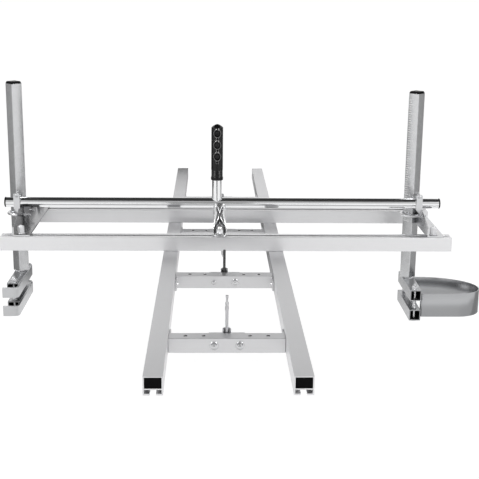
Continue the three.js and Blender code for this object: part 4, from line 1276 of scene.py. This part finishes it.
tick_pitch = 5 * mm
tick_length = 5.5 * mm
long_tick_length = 9 * mm
tick_width = 1.6 * mm
ticks_per_number = 4
mark_height = 0.06 * mm
number_size = 7 * mm
number_gap = 1.2 * mm
scale_drop = 14 * mm
scale_length = 270 * mm
scale_margin = 0.8 * mm
stamped_ink = new_material("stamped scale marks", 0, metal_surface, {
    "Stretch": (800, 800, 800), "Light": (0.09, 0.09, 0.095, 1), "Dark": (0.02, 0.02, 0.022, 1),
    "Line Share": 0.9, "Roughness": 0.6, "Roughness Spread": 0.2}, 0.05 * mm,
    plain_values={"Specular IOR Level": 0.1})


def tick_tree():
    """A row of ticks, every few of them long, from a start along a step."""
    tree, given, out = new_group(
        "depth ticks", "GeometryNodeTree",
        [("Geometry", "Geometry"), ("Count", "Int"), ("Step", "Vector"), ("Across", "Vector"),
         ("Turn", "Rotation"), ("Length", "Float"), ("Long Length", "Float"), ("Width", "Float"),
         ("Height", "Float"), ("Ticks per Number", "Int"), ("Material", "Material")],
        [("Geometry", "Geometry")])
    row = add_node(tree, "GeometryNodeMeshLine", {"Count": given["Count"], "Offset": given["Step"]})
    index = add_node(tree, "GeometryNodeInputIndex").outputs[0]
    left_over = calculate(tree, "FLOORED_MODULO", index, given["Ticks per Number"])
    is_long = calculate(tree, "LESS_THAN", left_over, 0.5)
    length = add_node(tree, "ShaderNodeMix",
                      {0: is_long, 2: given["Length"], 3: given["Long Length"]}).outputs[0]
    half = calculate(tree, "MULTIPLY", length, 0.5)
    shift = add_node(tree, "ShaderNodeVectorMath", {0: given["Across"], "Scale": half},
                     operation="SCALE")
    placed = add_node(tree, "GeometryNodeSetPosition",
                      {"Geometry": row.outputs[0], "Offset": shift.outputs[0]})
    size = add_node(tree, "ShaderNodeCombineXYZ",
                    {"X": length, "Y": given["Height"], "Z": given["Width"]})
    tick = add_node(tree, "GeometryNodeMeshCube", {"Size": (1, 1, 1)})
    ticks = add_node(tree, "GeometryNodeInstanceOnPoints", {
        "Points": placed.outputs[0], "Instance": tick.outputs[0], "Rotation": given["Turn"],
        "Scale": size.outputs[0]})
    starts = add_node(tree, "GeometryNodeMeshToPoints", {"Mesh": given["Geometry"]})
    rows = add_node(tree, "GeometryNodeInstanceOnPoints", {
        "Points": starts.outputs[0], "Instance": ticks.outputs[0]})
    finish_tree(tree, rows, given, out)
    return tree


face_across = Vector((1, -1, 0)).normalized()
face_outward = Vector((-1, -1, 0)).normalized()
face_turn = Matrix((face_across, Vector((0, 0, 1)), face_outward)).transposed().to_4x4()


def add_number(shape, number, place):
    """Adds a flat figure to a shape, upright on the scale's face."""
    text = bpy.data.curves.new("figure", "FONT")
    text.body = str(number)
    text.size = number_size
    text.extrude = mark_height / 2
    text.align_y = "CENTER"
    holder = bpy.data.objects.new("figure", text)
    bpy.context.scene.collection.objects.link(holder)
    flat = plain_mesh(holder)
    flat.transform(Matrix.Translation(place) @ face_turn)
    shape.from_mesh(flat)
    bpy.data.objects.remove(holder)
    bpy.data.meshes.remove(flat)


middle = centre("right_post")
face = Vector((middle.x, middle.y, 0)) + face_outward * (post_size / 2)
edge = face - face_across * (post_size / 2 - post_corner - scale_margin)
start = edge + Vector((0, 0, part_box("right_post")[1].z - scale_drop - scale_length))
tick_count = round(scale_length / tick_pitch) + 1
scale = grown_piece("right_depth_scale", tick_tree(), {
    "Count": tick_count, "Step": (0, 0, tick_pitch), "Across": tuple(face_across),
    "Turn": (0, 0, radians(-45)), "Length": tick_length, "Long Length": long_tick_length,
    "Width": tick_width, "Height": mark_height, "Ticks per Number": ticks_per_number,
    "Material": stamped_ink}, [start])
shape = shape_of(scale.data)
for number in range(tick_count // ticks_per_number + 1):
    level = Vector((0, 0, number * ticks_per_number * tick_pitch))
    add_number(shape, number, start + level + face_across * (long_tick_length + number_gap))
kept_shape(shape, scale.data)
for polygon in scale.data.polygons:
    polygon.material_index = 0
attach(scale, "right_depth")


# Post caps: black plastic mouldings pushed into the posts' tops.
# Each has four shallow slopes that meet in a point.
cap_edge = 0.7 * mm
for side in ("left", "right"):
    eased_piece(f"{side}_post_cap", f"moulded_{side}_post_cap", f"{side}_depth", "black_plastic",
                black_plastic, cap_edge)


# Bar clamps: square steel tubes, one welded under each post and one hung below it, that grip the saw bar.
# A bent band is welded along the inner side of the left pair. All are bright zinc-plated, and the bores are
# painted near-black, as painted shade.
clamp_edge = 0.8 * mm
clamp_wall = 2 * mm
clamp_half = post_size / 2
clamp_line_stretch = (260, 5, 260)
clamp_bore_room = 0.2 * mm
band_room = 0.1 * mm
end_room = 0.5 * mm
band_drop = 2.5 * mm
post_bead_radius = 1.1 * mm
post_bead_lift = 0.3 * mm
post_bead_steps = 8
post_bead_seeds = {"left": 5, "right": 8}
clamp_steel = new_material("bright plated clamp steel", 1, metal_surface, {
    "Stretch": clamp_line_stretch, "Light": (0.43, 0.435, 0.445, 1), "Dark": (0.37, 0.375, 0.385, 1),
    "Line Share": 0.5, "Roughness": 0.26, "Roughness Spread": 0.12}, 0.03 * mm)
band_steel = new_material("satin plated band steel", 1, metal_surface, {
    "Stretch": clamp_line_stretch, "Light": (0.62, 0.625, 0.635, 1), "Dark": (0.56, 0.565, 0.575, 1),
    "Line Share": 0.5, "Roughness": 0.34, "Roughness Spread": 0.12}, 0.03 * mm)
bore_shade_steel = new_material("painted shade inside the tubes", 0, metal_surface, {
    "Stretch": clamp_line_stretch, "Light": (0.016, 0.016, 0.017, 1), "Dark": (0.006, 0.006, 0.006, 1),
    "Line Share": 0.5, "Roughness": 0.6, "Roughness Spread": 0.2}, 0.03 * mm,
    plain_values={"Specular IOR Level": 0.1})


def on_band(place, tube_x, tube_front):
    """Whether a spot of a clamp lies on its band, beside the tube or before its end."""
    return place.x - tube_x > clamp_half + band_room or place.y < tube_front - end_room


def finish_clamp(clamp, node, tube_x, tube_front):
    """Gives the band and the nuts their own steel, paints shade in the bore, and lowers the band's top edge.
    """
    for steel in (band_steel, bore_shade_steel, zinc):
        clamp.data.materials.append(steel)
    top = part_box(node)[0].z + post_size
    room = clamp_half - clamp_wall + clamp_bore_room
    for face in clamp.data.polygons:
        across, over = face.center.x - tube_x, face.center.z - (top - clamp_half)
        if face.center.z > top + end_room:
            face.material_index = 3
        elif on_band(face.center, tube_x, tube_front):
            face.material_index = 1
        # Faces inside the bore take the painted shade.
        elif abs(across) < room and abs(over) < room and abs(face.normal.y) < steep_share:
            face.material_index = 2
    for vertex in clamp.data.vertices:
        if on_band(vertex.co, tube_x, tube_front) and abs(vertex.co.z - top) < end_room:
            vertex.co.z -= band_drop


def post_foot_loop(place):
    """Points along the foot of a post that stands on edge, where it meets the clamp's tube."""
    half = post_size / sqrt(2)
    side = half - clamp_half
    corners = [Vector(corner) for corner in (
        (0, -half, 0), (clamp_half, -side, 0), (clamp_half, side, 0),
        (0, half, 0), (-clamp_half, side, 0), (-clamp_half, -side, 0))]
    return [place + start.lerp(end, k / post_bead_steps)
            for start, end in zip(corners, corners[1:] + corners[:1]) for k in range(post_bead_steps)]


for side in ("left", "right"):
    post = centre(f"{side}_post")
    for level, body in (("upper", "depth"), ("lower", "jaw")):
        node = f"{side}_{level}_clamp"
        clamp = eased_piece(node, f"plated_{node}", f"{side}_{body}", "bright_steel", clamp_steel,
                            clamp_edge)
        finish_clamp(clamp, node, post.x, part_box(f"right_{level}_clamp")[0].y)
    foot = Vector((post.x, post.y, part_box(f"{side}_post")[0].z + post_bead_lift))
    weld_piece(f"{side}_post_weld", post_foot_loop(foot), post_bead_radius, post_bead_seeds[side],
               f"{side}_depth")


# Jaw bolts: zinc-plated M8 bolts with domed heads below, up through both clamps and the nuts on top.
# Turning the nuts closes the jaws on the saw bar.
jaw_head_radius = 7.5 * mm
jaw_head_height = 5 * mm
jaw_head_core = 1 * mm
jaw_plain_shank = 26 * mm
upside_down = (radians(180), 0, 0)
for side in ("left", "right"):
    nodes = [f"{side}_jaw_bolt_{end}" for end in ("front", "back")]
    seats = [(centre(node).x, centre(node).y, 0) for node in nodes]
    low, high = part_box(nodes[0])
    seat = low.z + jaw_head_height
    shanks = fastener_values(upright, m8_pitch, (seat + jaw_plain_shank, high.z - m8_pitch / 2), zinc,
                             shank=(m8_core, low.z + jaw_head_height / 2, high.z))
    core_end = -seat + jaw_head_core
    heads = fastener_values(upside_down, m8_pitch / 2, (-seat, core_end), zinc, round_head=True,
                            shank=(m8_radius / 2, -seat, core_end), head=(jaw_head_radius, -seat, -low.z))
    bolts = grown_piece(f"{side}_jaw_bolts", fastener, shanks, seats)
    join_into(bolts, grown_piece(f"{side}_jaw_heads", fastener, heads, seats))
    put_on(bolts, f"{side}_jaw", "zinc", *nodes)


# Nose guard: a wide strip of bright brushed steel bent round the nose of the saw bar.
# Its ends are turned in and tacked to the right upper clamp.
guard_low, guard_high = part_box("nose_guard")
guard_thickness = 2 * mm
guard_corner = 0.5 * mm
guard_corner_steps = 2
guard_tab = 12 * mm
guard_bend = 3 * mm
guard_front_bend = Vector((53 * mm, 43 * mm))
guard_back_run = 123 * mm
guard_steps = 60
bend_steps = 6
guard_steel = new_material("brushed guard steel", 1, metal_surface, {
    "Stretch": (6, 6, 420), "Light": (0.46, 0.465, 0.475, 1), "Dark": (0.41, 0.415, 0.425, 1),
    "Line Share": 0.6, "Roughness": 0.22, "Roughness Spread": 0.08}, 0.015 * mm)


def bent_corner(before, corner, after, radius):
    """Points of a round bend of one radius inside a square corner."""
    start = corner + (before - corner).normalized() * radius
    end = corner + (after - corner).normalized() * radius
    middle = start + end - corner
    points = []
    for k in range(bend_steps + 1):
        angle = pi / 2 * k / bend_steps
        points.append(middle + (start - middle) * cos(angle) + (end - middle) * sin(angle))
    return points


near_x = guard_low.x + guard_thickness / 2
far_x = guard_high.x - guard_thickness / 2
front_y = guard_low.y + guard_thickness / 2
back_y = guard_high.y - guard_tab
bow_x = far_x - guard_front_bend.x
turn_y = front_y + guard_front_bend.y
back_run = min(guard_back_run, far_x - near_x - guard_bend)
level = (guard_low.z + guard_high.z) / 2
front_tab = Vector((near_x, front_y + guard_tab, level))
back_tab = Vector((near_x, guard_high.y, level))
path = [front_tab]
path += bent_corner(front_tab, Vector((near_x, front_y, level)), Vector((bow_x, front_y, level)),
                    guard_bend)
for k in range(guard_steps + 1):
    angle = pi / 2 * k / guard_steps
    path.append(Vector((bow_x + guard_front_bend.x * sin(angle),
                        turn_y - guard_front_bend.y * cos(angle), level)))
for k in range(1, guard_steps):
    angle = pi / 2 * k / guard_steps
    path.append(Vector((far_x - back_run * (1 - cos(angle)),
                        turn_y + (back_y - turn_y) * sin(angle), level)))
path += bent_corner(Vector((bow_x, back_y, level)), Vector((near_x, back_y, level)), back_tab, guard_bend)
path.append(back_tab)
guard = swept_piece("bent_nose_guard", path, guard_thickness, guard_high.z - guard_low.z, guard_corner,
                    guard_corner_steps, guard_steel)
put_on(guard, "right_depth", "bright_steel", "nose_guard")


# Floor, cards and lights: a plain pale floor and a dim room, with soft light from the front and above.
# The cards stand in for the room's walls and ceiling, and only the metal shows them.
# Places are in metres, and a card is given by two opposite corners.
floor_drop = 0.32
floor_level = cad_box[0][2] - floor_drop
floor_shade = 0.82
floor_reach = 90
floor_glow = 0.36
room_half, room_front, room_back, room_top = 3.2, -0.25, 3.0, 2.2
wall_shade = 0.5
ceiling_half, ceiling_front = 1.15, -3.4
ceiling_shade = 0.07
ceiling_fade_places = (-3.1, -1.3)
ceiling_fade_shades = (0.75, 0.06)
skirt_half = 0.9
skirt_lift = 10 * mm
low_skirt_lift = 5 * mm
low_skirt_step = 2 * mm
softbox_near, softbox_far, softbox_front, softbox_back, softbox_level = 1.3, 2.3, -1.7, -0.5, 2.0
softbox_strength = 14
ambient_strength = 0.8
white = (1, 1, 1, 1)


def plain_material(name, shade, glow=0):
    """An even, dull material for what stands round the object."""
    material = bpy.data.materials.new(name)
    material.use_nodes = True
    surface = material.node_tree.nodes["Principled BSDF"]
    for key, value in (("Base Color", (shade, shade, shade, 1)), ("Roughness", 0.9),
                       ("Specular IOR Level", 0), ("Emission Color", white), ("Emission Strength", glow)):
        surface.inputs[key].default_value = value
    return material


def flat_card(name, low, high, material, seen_by_camera=False):
    """A level or upright sheet between two corners. Only mirroring surfaces see it, but for the floor."""
    x, y, z = low
    far_x, far_y, far_z = high
    if x == far_x:
        corners = [low, (x, far_y, z), high, (x, y, far_z)]
    else:
        corners = [low, (far_x, y, z), high, (x, far_y, far_z)]
    mesh = bpy.data.meshes.new(name)
    mesh.from_pydata(corners, [], [(0, 1, 2, 3)])
    mesh.materials.append(material)
    card = bpy.data.objects.new(name, mesh)
    bpy.context.scene.collection.objects.link(card)
    card.visible_camera = seen_by_camera
    card.visible_diffuse = seen_by_camera
    card.visible_shadow = seen_by_camera


def background_ray(tree):
    """One where a ray of the camera, or a mirrored or refracted one, meets the background."""
    ray = add_node(tree, "ShaderNodeLightPath").outputs
    mirrored = calculate(tree, "MAXIMUM", ray["Is Glossy Ray"], ray["Is Transmission Ray"])
    return calculate(tree, "MAXIMUM", ray["Is Camera Ray"], mirrored)


pale = plain_material("pale floor", floor_shade)
tree = pale.node_tree
glow = calculate(tree, "MULTIPLY", background_ray(tree), floor_glow)
tree.links.new(glow, tree.nodes["Principled BSDF"].inputs["Emission Strength"])
flat_card("floor", (-floor_reach, -floor_reach, floor_level), (floor_reach, floor_reach, floor_level),
          pale, True)

dim_ceiling = plain_material("dim ceiling", ceiling_shade)
tree = dim_ceiling.node_tree
place = add_node(tree, "ShaderNodeTexCoord").outputs["Object"]
depth = add_node(tree, "ShaderNodeSeparateXYZ", {0: place}).outputs["Y"]
fade = add_node(tree, "ShaderNodeMapRange", {
    "Value": depth, "From Min": ceiling_fade_places[0], "From Max": ceiling_fade_places[1],
    "To Min": ceiling_fade_shades[0], "To Max": ceiling_fade_shades[1]})
tree.links.new(fade.outputs[0], tree.nodes["Principled BSDF"].inputs["Base Color"])
flat_card("ceiling_card", (-ceiling_half, ceiling_front, room_top), (ceiling_half, room_back, room_top),
          dim_ceiling)

for side, outward, skirt_shade in (("left", -1, 0.30), ("right", 1, 0.45)):
    x, near = outward * room_half, outward * skirt_half
    level = floor_level + skirt_lift
    flat_card(f"{side}_wall_card", (x, room_front, floor_level), (x, room_back, room_top),
              plain_material(f"dim {side} wall", wall_shade))
    flat_card(f"{side}_skirt_card", (near, room_front, level), (x, room_back, level),
              plain_material(f"dim {side} floor", skirt_shade))
for name, low, high, shade in (
        ("left_back_card", (-1.3, 0.85, -0.39), (0.0, 0.85, 0.12), 0.0),
        ("right_back_card", (0.0, 0.85, floor_level), (1.3, 0.85, 0.12), 1.0),
        ("front_card", (-2.6, ceiling_front, 0.75), (2.6, ceiling_front, room_top), 0.75),
        ("near_camera_card", (-0.60, -2.2, -0.385), (0.50, -2.2, -0.28), 0.01),
        ("camera_card", (-0.24, -2.7, floor_level), (0.18, -2.7, 1.3), 0.45)):
    flat_card(name, low, high, plain_material(name.replace("_", " "), shade))
for side, outward in (("left", -1), ("right", 1)):
    flat_card(f"{side}_softbox_card", (outward * softbox_near, softbox_front, softbox_level),
              (outward * softbox_far, softbox_back, softbox_level),
              plain_material(f"{side} softbox", 0, softbox_strength))
level = floor_level + low_skirt_lift
for name, start, end, front, back, shade in (("near_floor_card", -1.3, 1.3, -1.2, -0.4, 0.8),
                                             ("left_front_skirt", -2.4, -0.7, -0.9, -0.26, 0.66),
                                             ("right_front_skirt", 0.7, 2.4, -0.9, -0.26, 0.72)):
    level += low_skirt_step
    flat_card(name, (start, front, level), (end, back, level), plain_material(name.replace("_", " "), shade))

for name, place, width, depth, power in (("key_light", (-0.4, -2.6, 2.3), 2.4, 1.2, 13),
                                         ("left_spark", (-1.6, -2.2, 1.9), 0.22, 0.22, 3.5),
                                         ("right_spark", (1.5, -2.2, 1.9), 0.22, 0.22, 3.5)):
    light = bpy.data.objects.new(name, bpy.data.lights.new(name, "AREA"))
    light.data.shape = "RECTANGLE"
    light.data.size = width
    light.data.size_y = depth
    light.data.energy = power
    light.visible_glossy = name != "key_light"
    light.location = place
    light.rotation_euler = (-Vector(place)).to_track_quat("-Z", "Y").to_euler()
    bpy.context.scene.collection.objects.link(light)

world = bpy.data.worlds.new("white room")
world.use_nodes = True
bpy.context.scene.world = world
tree = world.node_tree
background = tree.nodes["Background"]
background.inputs["Color"].default_value = white
strength = calculate(tree, "MULTIPLY_ADD", background_ray(tree), 1 - ambient_strength, ambient_strength)
tree.links.new(strength, background.inputs["Strength"])
bpy.context.scene.view_settings.view_transform = "Standard"
